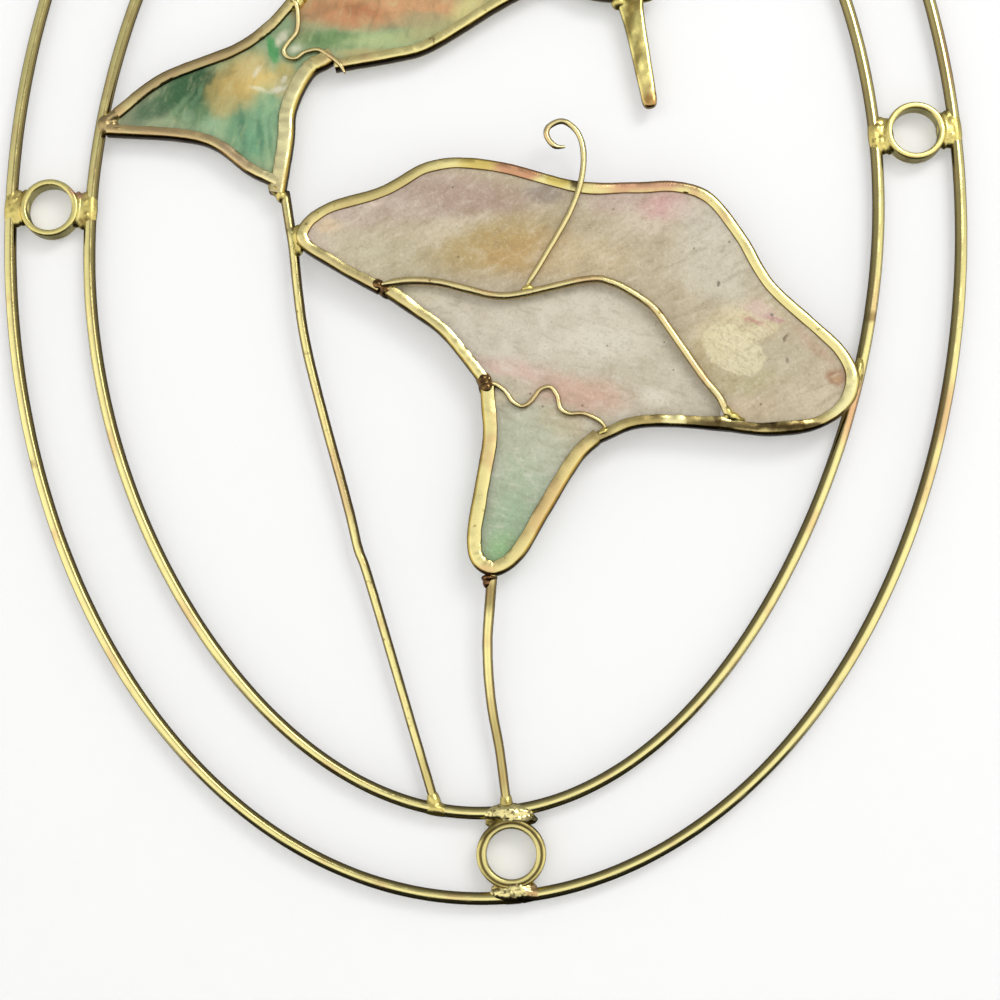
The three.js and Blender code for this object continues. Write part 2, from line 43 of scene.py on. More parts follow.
# Ovals, to the middle of their wire
OVAL_WIRE = 2.5
OUTER_HALF_WIDTH = 96.9
OUTER_HALF_HEIGHT = 137.3
OVAL_GAP = 17.6
INNER_LEAN = math.radians(1.15)
INNER_DRAW = 1.2
INNER_DRAW_PHASE = math.radians(7)
OVAL_CENTRE_Z = -147.7
OVAL_POINTS = 480
SEARCH_POINTS = 720

# Rings
LOOP_BORE = 7.0
LOOP_WIRE = 2.0
SIDE_LINK_BANDS = [(12.0, 9.4, 0.35)]
FOOT_LINK_BANDS = [(13.6, 11.5, 0.48), (11.8, 9.8, 0.48)]
LINK_DEPTH = 4.0
LEFT_LINK_ANGLE = math.radians(179)
RIGHT_LINK_ANGLE = math.radians(7)
FOOT_LINK_ANGLE = math.radians(-86)
HEAD_LINK_ANGLE = math.radians(90)

# Strips, shells and wires
SHELL = 0.8
STRIP_WIDTH = 2.3
CALYX_STRIP_WIDTH = 2.9
TAIL_BACK_STRIP_WIDTH = 3.3
STRIP_DEPTH = 3.2
CLEARANCE = 0.15
STEM_WIRE = 2.1
PETAL_WIRE = 1.6
STAMEN_WIRE = 1.2
FINE_WIRE = 1.0
BEAK_DEPTH = 2.2

# The two figures
FLOWER_SPAN = 112.5
FLOWER_Y = -3.0
PETAL_LAYER = 0.55
BIRD_SPAN = 112.5
BIRD_Y = -1.0
FLOWER_TIP_ANGLE = math.radians(-16.4)
TAIL_TIP_ANGLE = math.radians(171.2)
REAR_WING_ANGLE = math.radians(121)
FORE_WING_ANGLE = math.radians(64)
LONG_STEM_ANGLE = math.radians(-94.5)
FLOWER_STEM_ANGLE = math.radians(-84.5)

# Flower outlines in hundredths of its span, from its right tip, clockwise from the front
PETAL_EDGE = [
    (-86.5, 16.7), (-93.4, 20.7), (-99.8, 25.2), (-99.3, 29.3), (-94.4, 32.9), (-84.9, 35.8),
    (-77.5, 39.9), (-70.8, 41), (-62, 39.8), (-49.8, 36.4), (-39.3, 36), (-31.7, 36.1),
    (-25.4, 33.7), (-19.6, 26.2), (-14.8, 17.7), (-7.9, 10.9), (-2.4, 5.4), (0, 0), (-2, -5.5),
    (-8.2, -9.2), (-16.2, -10.1), (-23.7, -9.2),
]
LIP_EDGE = [(-24.2, -9.2), (-32.7, -8.4), (-39.6, -8.7), (-44.7, -10.8)]
CALYX_EDGE = [
    (-45.6, -11.2), (-49.3, -14.9), (-54.8, -23.9), (-59.6, -31.8), (-64.6, -34.8), (-68.5, -32.4),
    (-69.2, -26.8), (-67.5, -16.6), (-66.5, -9.8), (-66.9, -2.8),
]
CHEEK_EDGE = [(-67.8, 0.5), (-70.8, 4.5), (-74.9, 9.1), (-82.6, 14.6)]
PETAL_LINE = [
    (-84.6, 17.5), (-79.5, 18.1), (-74.2, 17.7), (-69.2, 16.4), (-63.9, 15.2), (-59, 15.6),
    (-47.9, 18), (-43.4, 17.4), (-39.5, 15.3), (-35.9, 12.5), (-33.2, 8.7), (-27.6, 0.3),
    (-24.5, -3.8), (-23.6, -6.7),
]
CALYX_LINE = [
    (-66.9, -0.8), (-64.6, -0.5), (-62.5, -1.9), (-61.2, -3.7), (-59.5, -4.6), (-57.9, -3.6),
    (-56.4, -1.7), (-54.6, -1.2), (-53.3, -2.7), (-52.7, -5), (-51.2, -6), (-48.7, -6), (-46, -7.2),
    (-44.5, -8.8),
]
STAMEN_LINE = [
    (-58.7, 16.8), (-54.8, 23.4), (-51.3, 29.5), (-49.2, 34.8), (-48.4, 39.4), (-48.7, 43.1),
    (-50, 45.7), (-52.3, 47.1), (-54.7, 46), (-54.9, 44.2), (-53.5, 42.5), (-51.7, 42.3),
]
FLOWER_STEM_TOP = (-64.9, -34.8)
FLOWER_STEM_BOW = [(10.2, -1.4), (29.8, -3.9), (53, -3.9), (74.4, -1.6)]
LONG_STEM_BOW = [(18, -2.1), (46, -1.9), (54, -2), (60, -1.5), (87, -0.5)]

# Bird outlines in hundredths of its span, from the tip of its tail, clockwise from the front
TAIL_TOP_EDGE = [(1.1, 2.5), (9.9, 9.2), (22.9, 14.4), (28.8, 18.5), (32.5, 22.6)]
BACK_EDGE = [
    (33.5, 24), (38.4, 30.8), (46.1, 37.2), (59.1, 42.8), (72.1, 45.6), (83.2, 46.2), (92.4, 44.1),
    (98.8, 37.8), (100, 30), (98.4, 23.3),
]
BELLY_EDGE = [
    (93.2, 21.8), (88.2, 22.6), (83.1, 25.1), (78.9, 24.4), (71.4, 20.4), (63.5, 15.4), (58, 12.4),
    (52.6, 11.1), (44.9, 9.8),
]
TAIL_BACK_EDGE = [(40.4, 10), (37.6, 8.1), (34.8, 2), (34.4, -3.9), (33, -13.5)]
TAIL_FOOT_EDGE = [(25.7, -9.7), (19.8, -5.2), (13.1, -3.4), (0, -2.4)]
RUMP_LINE = [
    (33.2, 22.9), (34.6, 21.9), (35, 19.4), (34.7, 16.7), (33.2, 14.7), (32.4, 13.2), (33.1, 11.9),
    (34.6, 11.6), (36.2, 12.7), (38.6, 13.2), (40.6, 12.1), (42.7, 10.3), (43.8, 8.4),
]
BEAK_EDGE = [
    (93.4, 21.5), (94.9, 16.2), (97.2, 5.5), (98, 2.2), (99.2, 1.6), (100.4, 2.5), (100.1, 5.9),
    (99.3, 11.6), (98.2, 19.9), (98.3, 23.1),
]

# Wing outlines in hundredths of each wing's length, from the middle of its root towards its tip
WING_TRAILING_EDGE = [(14, 27), (36, 30), (62, 26), (84, 17), (95.5, 9)]
WING_LEADING_EDGE = [(95.5, -9), (84, -16), (68, -19), (52, -19.5), (36, -17)]
REAR_WING_ROOT = (0.13, 0.33)
FORE_WING_ROOT = (0.4, 0.6)
WINGS = {"rear_wing": (REAR_WING_ROOT, REAR_WING_ANGLE), "fore_wing": (FORE_WING_ROOT, FORE_WING_ANGLE)}
FEATHER_LINES = [[(16, 9), (44, 14), (66, 12)], [(18, -4), (46, -2), (78, 3)]]

# A strip's section, clockwise from its outer front corner: share of its width, share of half its depth
STRIP_SECTION = [
    (0.0, 0.5), (0.04, 0.76), (0.1, 0.9), (0.2, 0.98), (0.34, 1.03), (0.8, 0.97), (0.95, 0.9),
    (1.0, 0.7), (1.0, -0.7), (0.95, -0.9), (0.8, -0.97), (0.34, -1.03), (0.2, -0.98), (0.1, -0.9),
    (0.04, -0.76), (0.0, -0.5),
]

# Painted shade round that section: dark at the outer front corner and the inner edge, clear on the crown
STRIP_PAINTED_SHADE = [
    (0.0, "#4A3818"), (0.07, "#9C8A58"), (0.15, "#D2C498"), (0.21, "#FFFFFF"), (0.37, "#FFFFFF"),
    (0.41, "#A8945E"), (0.445, "#3A2C14"), (0.53, "#3A2C14"), (0.58, "#FFFFFF"), (0.92, "#FFFFFF"),
    (0.96, "#4A3818"),
]

# Swells along a strip: share of its run, half length, and how much wider and deeper it gets
PETAL_SWELLS = [(0.82, 0.05, 0.22), (0.12, 0.04, 0.12), (0.44, 0.02, 0.1), (0.93, 0.03, 0.15)]

# Solder drops: x, depth, z, then half sizes along, through and across, and the turn in degrees
PETAL_TIP_DROPS = [(-36.6, -3, -152.8, 1.7, 1.75, 2.6, 10), (-37, -2.6, -155.2, 1.1, 1.3, 1.7, -10)]
CHEEK_DROPS = [(-20.8, -3, -163.2, 1.8, 2, 1.55, -30), (-18.9, -3, -164.3, 1.8, 2, 1.55, -32)]
STAMEN_DROPS = [(9.5, -4.9, -164.4, 1.4, 0.8, 0.7, 10)]
CALYX_LEFT_DROPS = [(0.7, -3, -182.7, 1.7, 2, 1.6, -60), (1.3, -3, -184.4, 1.6, 2, 1.7, -78)]
CALYX_RIGHT_DROPS = [(24.6, -3.5, -193.5, 1.8, 1.4, 0.9, 30)]
LIP_DROPS = [(49.6, -3.9, -191.1, 3.2, 1, 0.7, -3), (49.2, -4.5, -189.8, 0.85, 0.95, 1.8, 30),
             (50, -4.2, -190.7, 1.5, 1, 1, 0)]
CALYX_FOOT_DROPS = [(1.8, -3, -222.5, 1.7, 1.5, 0.75, 0), (1.6, -2.9, -223.5, 1.12, 1.15, 1.2, 0)]
TIP_DROPS = [(75.3, -1.5, -181.9, 1.1, 1.45, 3.6, -10), (74.2, -1.2, -185.6, 1, 1.35, 2.6, -16)]
TAIL_TIP_DROPS = [(-75.6, -1, -126.3, 4.4, 1.68, 1.25, 37), (-77.5, -0.9, -128.2, 1.6, 1.68, 2.2, 8),
                  (-74.9, -1, -129.5, 3.8, 1.68, 1.12, -2), (-76.2, -1, -128.3, 1.6, 1.3, 1.2, 10)]
TAIL_CORNER_DROPS = [(-41.8, -1, -142.4, 2.2, 1.7, 1.35, -40), (-40.8, -1, -143.6, 1.25, 1.5, 1.7, 8)]
RUMP_DROPS = [(-38.3, -1.3, -103, 1.8, 1.7, 1.4, 35), (-37.2, -1.3, -101.4, 1.3, 1.6, 1.5, 50)]
BEAK_DROPS = [(33.2, -1, -102.2, 2.9, 1.6, 1.4, 5), (28.4, -1, -103.6, 1.7, 1.6, 1.5, 10)]
FOOT_RING_DROPS = [(5.3, -0.4, -268.5, 5, 1.75, 1.9, 2), (7, -0.3, -269.7, 4.4, 1.7, 1.5, 0),
                   (6.9, -0.3, -284, 5.2, 1.85, 1.9, 0), (6.9, -0.3, -282.6, 4.2, 1.75, 1.3, 0)]

# Run metal: the size of the facets in its skin, and how far its corners settle
DROP_SKIN = 0.22
RING_SKIN = 0.16
BEAK_SKIN = 0.2
SETTLING = 8
WEB_SETTLING = 9

# Relief of the surfaces: size of the lumps and height
OVAL_RELIEF = [(6.0, 0.06)]
STEM_RELIEF = [(3.0, 0.08)]
FINE_RELIEF = [(1.6, 0.1)]
BEAK_RELIEF = [(4.0, 0.14)]
STRIP_RELIEF = [(3.4, 0.15), (1.1, 0.05)]
LOOP_RELIEF = [(1.6, 0.22)]
SOLDER_RELIEF = [(1.6, 0.13), (0.8, 0.03)]
CRUSTED_RELIEF = [(2.0, 0.55), (0.8, 0.2)]

# Camera
AIM = Vector((3.78, 0.0, -206.51)) * MILLIMETRE
EYE = Vector((21.78, -430.0, -266.51)) * MILLIMETRE
LENS = 78.217
SENSOR = 36.0

# Floor, board behind and lamps, in metres and watts
FLOOR_SIZE = 4.0
FLOOR_Z = -0.45
BOARD_SIZE = 1.6
BOARD_PLACE = (0, 0.003, -0.2)
BOARD_GLOW = 0.22
KEY_PLACE = (0.45, -0.9, 0.35)
KEY_SIZE = (0.5, 0.35)
KEY_POWER = 3.4
FILL_PLACE = (-0.1, -1.1, -0.1)
FILL_SIZE = (1.2, 1.2)
FILL_POWER = 3.1


# Shared helpers
def place(point):
    return Vector(point) * MILLIMETRE


def linear(hex_colour):
    channels = [int(hex_colour[i:i + 2], 16) / 255 for i in (1, 3, 5)]
    return [c / 12.92 if c <= 0.04045 else ((c + 0.055) / 1.055) ** 2.4 for c in channels] + [1.0]


def deselect_all():
    if bpy.context.object and bpy.context.object.mode != "OBJECT":
        bpy.ops.object.mode_set(mode="OBJECT")
    bpy.ops.object.select_all(action="DESELECT")


def choose(piece):
    deselect_all()
    piece.select_set(True)
    bpy.context.view_layer.objects.active = piece


def drawn(points, steps=10):
    """Points along the smooth line through the given points, at every step between them."""
    points = [Vector(point) for point in points]
    ends = [points[0] * 2 - points[1]] + points + [points[-1] * 2 - points[-2]]
    line = []
    for before, start, end, after in zip(ends, ends[1:], ends[2:], ends[3:]):
        leaving = start + (end - before) / 6
        arriving = end - (after - start) / 6
        line += interpolate_bezier(start, leaving, arriving, end, steps + 1)[:-1]
    return line + [points[-1]]


# Ovals and the lines of the figures
def oval_point(half_width, half_height, angle, lean=0.0, draw=0.0):
    x = half_width * math.cos(angle)
    z = half_height * math.sin(angle)
    reach = 1 + draw * math.cos(4 * (angle - INNER_DRAW_PHASE)) / math.hypot(x, z)
    x, z = x * reach, z * reach
    turned_x = x * math.cos(lean) + z * math.sin(lean)
    turned_z = z * math.cos(lean) - x * math.sin(lean)
    return Vector((turned_x, 0, OVAL_CENTRE_Z + turned_z))


def outer_point(angle):
    return oval_point(OUTER_HALF_WIDTH, OUTER_HALF_HEIGHT, angle)


def inner_point(angle):
    return oval_point(OUTER_HALF_WIDTH - OVAL_GAP, OUTER_HALF_HEIGHT - OVAL_GAP, angle,
                      INNER_LEAN, INNER_DRAW)


def inside_oval(angle, distance):
    step = math.tau / SEARCH_POINTS
    along = (inner_point(angle + step) - inner_point(angle - step)).normalized()
    return inner_point(angle) + Vector((-along.z, 0, along.x)) * distance


def on_figure(anchor, span, point, y):
    return Vector((anchor.x + point[0] * span / 100, y, anchor.z + point[1] * span / 100))


def on_flower(points, y=FLOWER_Y):
    return [on_figure(inner_point(FLOWER_TIP_ANGLE), FLOWER_SPAN, point, y) for point in points]


def on_bird(points, y=BIRD_Y):
    anchor = inside_oval(TAIL_TIP_ANGLE, OVAL_WIRE / 2 + CLEARANCE)
    return [on_figure(anchor, BIRD_SPAN, point, y) for point in points]


def beside(start, end, shares):
    run = end - start
    across = Vector((-run.z, 0, run.x))
    return [start + run * (along / 100) + across * (side / 100) for along, side in shares]


def flower_stem_line():
    top = on_flower([FLOWER_STEM_TOP])[0]
    foot = inner_point(FLOWER_STEM_ANGLE)
    return [top] + beside(top, foot, FLOWER_STEM_BOW) + [foot]


def long_stem_line():
    aside = STEM_WIRE / 2 + CLEARANCE
    top = on_bird([TAIL_BACK_EDGE[-1]])[0]
    top.z -= aside
    flower_side = on_flower([PETAL_EDGE[2]])[0]
    flower_side.x -= aside
    flower_side.y = (FLOWER_Y + BIRD_Y) / 2
    foot = inner_point(LONG_STEM_ANGLE)
    bow = beside(flower_side, foot, LONG_STEM_BOW)
    return [top, top.lerp(flower_side, 0.6), flower_side] + bow + [foot]


def tail_foot_line():
    run = on_bird(TAIL_FOOT_EDGE)
    corner = on_bird([TAIL_BACK_EDGE[-1]])[0]
    direction = (run[0] - corner).normalized()
    return [corner + direction * ((TAIL_BACK_STRIP_WIDTH + CLEARANCE) / abs(direction.x))] + run


def stamen_line():
    petal_y = FLOWER_Y - PETAL_LAYER - SHELL / 2 - CLEARANCE - PETAL_WIRE / 2
    over_strip = FLOWER_Y - STRIP_DEPTH / 2 - CLEARANCE - STAMEN_WIRE / 2
    depths = [petal_y + (over_strip - petal_y) * min(1, i / 3) for i in range(len(STAMEN_LINE))]
    return [on_flower([point], y)[0] for point, y in zip(STAMEN_LINE, depths)]


def rump_line():
    on_shell = BIRD_Y - SHELL / 2 - CLEARANCE - FINE_WIRE / 2
    over_strip = BIRD_Y - STRIP_DEPTH / 2 - FINE_WIRE / 2
    from_end = [min(i, len(RUMP_LINE) - 1 - i) for i in range(len(RUMP_LINE))]
    depths = [over_strip + (on_shell - over_strip) * min(1, i / 3) for i in from_end]
    return [on_bird([point], y)[0] for point, y in zip(RUMP_LINE, depths)]


def wing_lines(root_shares, tip_angle):
    back = drawn(on_bird(BACK_EDGE), 20)
    root_start, root_end = [back[round(share * (len(back) - 1))] for share in root_shares]
    root = root_start.lerp(root_end, 0.5)
    tip = inside_oval(tip_angle, OVAL_WIRE / 2 + CLEARANCE)
    tip.y = BIRD_Y
    edge = [root_start] + beside(root, tip, WING_TRAILING_EDGE) + [tip]
    edge += beside(root, tip, WING_LEADING_EDGE) + [root_end]
    return edge, [beside(root, tip, line) for line in FEATHER_LINES]


# Modelling
def clean_mesh(piece):
    """Closes the seams a conversion leaves and turns every face outwards."""
    choose(piece)
    bpy.ops.object.mode_set(mode="EDIT")
    bpy.ops.mesh.select_all(action="SELECT")
    bpy.ops.mesh.remove_doubles(threshold=0.00001)
    bpy.ops.mesh.normals_make_consistent(inside=False)
    bpy.ops.object.mode_set(mode="OBJECT")
    bpy.ops.object.shade_smooth()


def add_curve(name, points, radii, closed, dimensions):
    deselect_all()
    bpy.ops.curve.primitive_nurbs_path_add()
    piece = bpy.context.object
    piece.name = name
    curve = piece.data
    curve.dimensions = dimensions
    curve.splines.clear()
    spline = curve.splines.new("POLY")
    spline.points.add(len(points) - 1)
    for knot, point, radius in zip(spline.points, points, radii):
        knot.co = (*point, 1)
        knot.radius = radius
    spline.use_cyclic_u = closed
    return piece


def apply_modifiers(piece):
    choose(piece)
    for modifier in list(piece.modifiers):
        bpy.ops.object.modifier_apply(modifier=modifier.name)


def roughen(piece, relief):
    """Raises and sinks the surface by hundredths to tenths of a millimetre, lump size by lump size."""
    for lump, height in relief:
        texture = bpy.data.textures.new(piece.name + "_relief", "CLOUDS")
        texture.noise_scale = lump * MILLIMETRE
        modifier = piece.modifiers.new("relief", "DISPLACE")
        modifier.texture = texture
        modifier.texture_coords = "LOCAL"
        modifier.strength = height * MILLIMETRE
        modifier.mid_level = 0.5


def finish_piece(piece, material, slot, *nodes):
    piece.data.materials.clear()
    piece.data.materials.append(material)
    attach(piece, "root")
    if nodes:
        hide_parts(*nodes)


def thinned(points, reach, share):
    """Radii that shrink by a share over the last few millimetres at both ends of a line."""
    run = [0.0]
    for start, end in zip(points, points[1:]):
        run.append(run[-1] + (end - start).length)
    return [1 - share * max(0.0, 1 - min(along, run[-1] - along) / reach) for along in run]


def wire(name, points, diameter, closed=False, radii=None):
    line = [point * MILLIMETRE for point in points]
    radii = radii or [1.0] * len(line)
    piece = add_curve(name, line, radii, closed, "3D")
    piece.data.bevel_depth = diameter / 2 * MILLIMETRE
    piece.data.bevel_resolution = 6
    piece.data.use_fill_caps = not closed
    bpy.ops.object.convert(target="MESH")
    clean_mesh(piece)
    return piece


def flat_to_front(piece):
    """Stands a piece drawn flat on the ground up on its edge, its top to the front."""
    choose(piece)
    piece.rotation_euler = (math.radians(90), 0, 0)
    bpy.ops.object.transform_apply(location=True, rotation=True, scale=True)


def strip_section(width):
    section = [Vector((a * width, b * STRIP_DEPTH / 2, 0)) * MILLIMETRE for a, b in STRIP_SECTION]
    return add_curve("section", section, [1.0] * len(section), True, "2D")


def reaching(line, start, end):
    """The same line, drawn on past its two ends so that it runs into its neighbours."""
    first = line[0] + (line[0] - line[1]).normalized() * start
    last = line[-1] + (line[-1] - line[-2]).normalized() * end
    return [first] * (start > 0) + line + [last] * (end > 0)


def strip(name, points, y, width, reach, swells):
    """A folded strip whose outer edge follows the line, with given swells at shares of its run."""
    section = strip_section(width)
    line = reaching(drawn(points, 12), *reach)
    flat = [Vector((point.x, point.z, 0)) * MILLIMETRE for point in line]
    piece = add_curve(name, flat, strip_radii(len(flat), swells), False, "2D")
    piece.data.fill_mode = "NONE"
    piece.data.bevel_mode = "OBJECT"
    piece.data.bevel_object = section
    piece.data.use_fill_caps = True
    bpy.ops.object.convert(target="MESH")
    piece.location.y = y * MILLIMETRE
    flat_to_front(piece)
    bpy.data.objects.remove(section)
    clean_mesh(piece)
    return piece


def strip_radii(count, swells):
    radii = []
    for i in range(count):
        share = i / (count - 1)
        radius = 1.0 + 0.05 * noise.noise(Vector((share * 40, 3.7, count)))
        for middle, half, gain in swells:
            radius += gain * max(0.0, 1 - ((share - middle) / half) ** 2)
        radii.append(radius)
    return radii


def drop(centre, sizes, turn=0.0):
    """A rounded drop with half sizes along, through and across, turned by some degrees."""
    deselect_all()
    bpy.ops.mesh.primitive_ico_sphere_add(
        subdivisions=4, radius=1, location=place(centre), scale=place(sizes),
        rotation=(0, -math.radians(turn), 0))
    return bpy.context.object


def even_skin(piece, facet, settling):
    """Gives a piece one skin of small even facets and lets its corners settle."""
    remesh = piece.modifiers.new("even_skin", "REMESH")
    remesh.mode = "VOXEL"
    remesh.voxel_size = facet * MILLIMETRE
    smooth = piece.modifiers.new("settling", "SMOOTH")
    smooth.iterations = settling


def melt(name, pieces, facet, settling=SETTLING):
    """Joins drops and rings into one piece of metal that ran together."""
    deselect_all()
    for piece in pieces:
        piece.select_set(True)
    bpy.context.view_layer.objects.active = pieces[0]
    bpy.ops.object.join()
    piece = bpy.context.object
    piece.name = name
    bpy.ops.object.transform_apply(location=True, rotation=True, scale=True)
    even_skin(piece, facet, settling)
    return piece


def finish_solder(piece, relief, material, *nodes):
    roughen(piece, relief)
    apply_modifiers(piece)
    bpy.ops.object.shade_smooth()
    finish_piece(piece, material, "soldered_rings", *nodes)


# Materials
def node(tree, kind, inputs=None, stops=None, **settings):
    """Adds a node with its settings; a socket given as an input is linked, a number is set."""
    made = tree.nodes.new(kind)
    for key, value in settings.items():
        setattr(made, key, value)
    for key, value in (inputs or {}).items():
        if isinstance(value, bpy.types.NodeSocket):
            tree.links.new(value, made.inputs[key])
        else:
            made.inputs[key].default_value = value
    if stops:
        ramp = made.color_ramp
        while len(ramp.elements) < len(stops):
            ramp.elements.new(1.0)
        for element, (position, colour) in zip(ramp.elements, stops):
            element.position = position
            element.color = linear(colour)
    return made


def new_material(name):
    material = bpy.data.materials.new(name)
    material.use_nodes = True
    tree = material.node_tree
    shader = tree.nodes["Principled BSDF"]
    coords = node(tree, "ShaderNodeTexCoord").outputs["Object"]
    return material, tree, shader, coords


def mixed(tree, factor, first, second, blend="MIX"):
    made = node(tree, "ShaderNodeMix", {0: factor, 6: first, 7: second}, data_type="RGBA", blend_type=blend)
    return made.outputs[2]


def grain(tree, coords, size, detail=3.0, roughness=0.55, distortion=0.0):
    """Noise whose lumps measure about the given size in millimetres."""
    made = node(tree, "ShaderNodeTexNoise", {
        "Vector": coords, "Scale": 1 / (size * MILLIMETRE), "Detail": detail,
        "Roughness": roughness, "Distortion": distortion})
    return made.outputs[0]


def span(tree, value, low, high, to_low=0.0, to_high=1.0):
    made = node(tree, "ShaderNodeMapRange", {
        "Value": value, "From Min": low, "From Max": high, "To Min": to_low, "To Max": to_high},
        interpolation_type="SMOOTHSTEP")
    return made.outputs[0]


def times(tree, first, second, operation="MULTIPLY"):
    return node(tree, "ShaderNodeMath", {0: first, 1: second}, operation=operation).outputs[0]


def from_middle(tree, coords, x, z, half_x, half_z, turn):
    """How far a point lies from the middle of an oval patch, 1 at its edge."""
    local = node(tree, "ShaderNodeMapping", {
        "Vector": coords, "Location": place((x, 0, z)), "Rotation": (0, -math.radians(turn), 0),
        "Scale": (half_x * MILLIMETRE, 1.0, half_z * MILLIMETRE)}, vector_type="TEXTURE").outputs[0]
    return node(tree, "ShaderNodeVectorMath", {0: local}, operation="LENGTH").outputs[1]


def paint(tree, coords, colour, patches):
    """Soft patches one by one: x, z, half sizes, turn in degrees, colour, strength and softness."""
    for *oval, hue, strength, soft in patches:
        far = from_middle(tree, coords, *oval)
        colour = mixed(tree, span(tree, far, 1 + soft, 1 - soft, 0.0, strength), colour, linear(hue))
    return colour


def stretched(tree, coords, turn, length):
    """Coordinates in which a pattern is drawn out along a direction, its turn given in degrees."""
    made = node(tree, "ShaderNodeMapping", {
        "Vector": coords, "Rotation": (0, -math.radians(turn), 0), "Scale": (length, 1.0, 1.0)},
        vector_type="TEXTURE")
    return made.outputs[0]


def wander(tree, coords, size, reach):
    """Coordinates pushed about by noise, so that a patch's edge is ragged."""
    made = node(tree, "ShaderNodeTexNoise", {
        "Vector": coords, "Scale": 1 / (size * MILLIMETRE), "Detail": 3.0})
    offset = node(tree, "ShaderNodeVectorMath", {0: made.outputs[1], 1: (0.5, 0.5, 0.5)},
                  operation="SUBTRACT").outputs[0]
    scaled = node(tree, "ShaderNodeVectorMath", {0: offset, "Scale": reach * MILLIMETRE},
                  operation="SCALE").outputs[0]
    return node(tree, "ShaderNodeVectorMath", {0: coords, 1: scaled}, operation="ADD").outputs[0]


def bumped(tree, shader, height, distance, strength):
    made = node(tree, "ShaderNodeBump", {
        "Height": height, "Distance": distance * MILLIMETRE, "Strength": strength})
    tree.links.new(made.outputs[0], shader.inputs["Normal"])


def inward_share(tree, coords):
    """How far a wire's surface turns to the middle of the ovals, from 0 to 1."""
    middle = node(tree, "ShaderNodeVectorMath", {0: place((0, 0, OVAL_CENTRE_Z)), 1: coords},
                  operation="SUBTRACT").outputs[0]
    level = node(tree, "ShaderNodeVectorMath", {0: middle}, operation="NORMALIZE").outputs[0]
    towards = node(tree, "ShaderNodeVectorMath", {0: level, 1: (1, 0, 0.3)}, operation="MULTIPLY").outputs[0]
    facing = node(tree, "ShaderNodeNewGeometry").outputs["Normal"]
    return node(tree, "ShaderNodeVectorMath", {0: facing, 1: towards}, operation="DOT_PRODUCT").outputs[1]


def painted_inward_shade(tree, coords, colour, share):
    """Paints shade on the side of a wire that turns to the middle of the ovals, standing in for a dark
    reflection.
    """
    side = span(tree, inward_share(tree, coords), 0.02, 0.22, 0.0, share)
    return mixed(tree, side, colour, linear("#867A4E"))


def painted_rim_shade(tree, colour, share, start):
    """Paints shade on a wire where its surface turns away from the front."""
    facing = node(tree, "ShaderNodeNewGeometry").outputs["Normal"]
    depth = node(tree, "ShaderNodeSeparateXYZ", {0: facing}).outputs[1]
    away = span(tree, times(tree, depth, depth), start, start - 0.35, 0.0, share)
    return mixed(tree, away, colour, linear("#665230"))


def painted_section_shade(tree, colour):
    """Paints shade along a strip's two edges and leaves its crown bright."""
    run = node(tree, "ShaderNodeUVMap", uv_map="UVMap").outputs[0]
    round_section = node(tree, "ShaderNodeSeparateXYZ", {0: run}).outputs[1]
    shade = node(tree, "ShaderNodeValToRGB", {0: round_section}, stops=STRIP_PAINTED_SHADE).outputs[0]
    return mixed(tree, 1.0, colour, shade, "MULTIPLY")


def brass(name, light="#F8EBA0", dark="#857038", copper="#DBA07A", rough=0.22, copper_share=0.35,
          dark_from=0.62, patches=(), lines=(), inward=0.0, rim=0.0, rim_from=0.6, edge=False,
          lump=2.2, scratch=0.2):
    """Hand-worked brass: bright gold, warmer copper flush, olive patina and fine scratches."""
    material, tree, shader, coords = new_material(name)
    flush = span(tree, grain(tree, coords, 9.0, 2.0), 0.52, 0.7, 0.0, copper_share)
    colour = mixed(tree, flush, linear(light), linear(copper))
    stain = span(tree, grain(tree, coords, lump, 4.0, 0.6), dark_from, dark_from + 0.12, 0.0, 0.75)
    colour = mixed(tree, stain, colour, linear(dark))
    if patches:
        colour = paint(tree, wander(tree, coords, 2.0, 1.6), colour, patches)
    # Lines painted with little wander, such as the painted shade and highlight lines on the foot ring
    if lines:
        colour = paint(tree, wander(tree, coords, 3.0, 0.3), colour, lines)
    # Painted shade: on the side facing the middle of the ovals, along rims turning from the front, and along
    # a strip's two edges
    if inward:
        colour = painted_inward_shade(tree, coords, colour, inward)
    if rim:
        colour = painted_rim_shade(tree, colour, rim, rim_from)
    if edge:
        colour = painted_section_shade(tree, colour)
    tree.links.new(colour, shader.inputs["Base Color"])
    gloss = span(tree, grain(tree, coords, 3.0, 3.0), 0.35, 0.75, rough - 0.05, rough + 0.12)
    tree.links.new(gloss, shader.inputs["Roughness"])
    shader.inputs["Metallic"].default_value = 1.0
    bumped(tree, shader, grain(tree, coords, 0.7, 3.0, 0.6), 0.05, scratch)
    return material


def wrinkled(tree, coords, colour, patch):
    """A thin flake with a crisp edge, creased like silk paper."""
    *oval, hue, crease_hue = patch
    inside = span(tree, from_middle(tree, coords, *oval), 1.08, 0.94, 0.0, 0.6)
    colour = mixed(tree, inside, colour, linear(hue))
    creases = grain(tree, stretched(tree, coords, -40, 3.0), 0.7, 3.0, 0.6, 1.0)
    creased = times(tree, inside, span(tree, creases, 0.48, 0.62, 0.0, 0.6))
    return mixed(tree, creased, colour, linear(crease_hue))


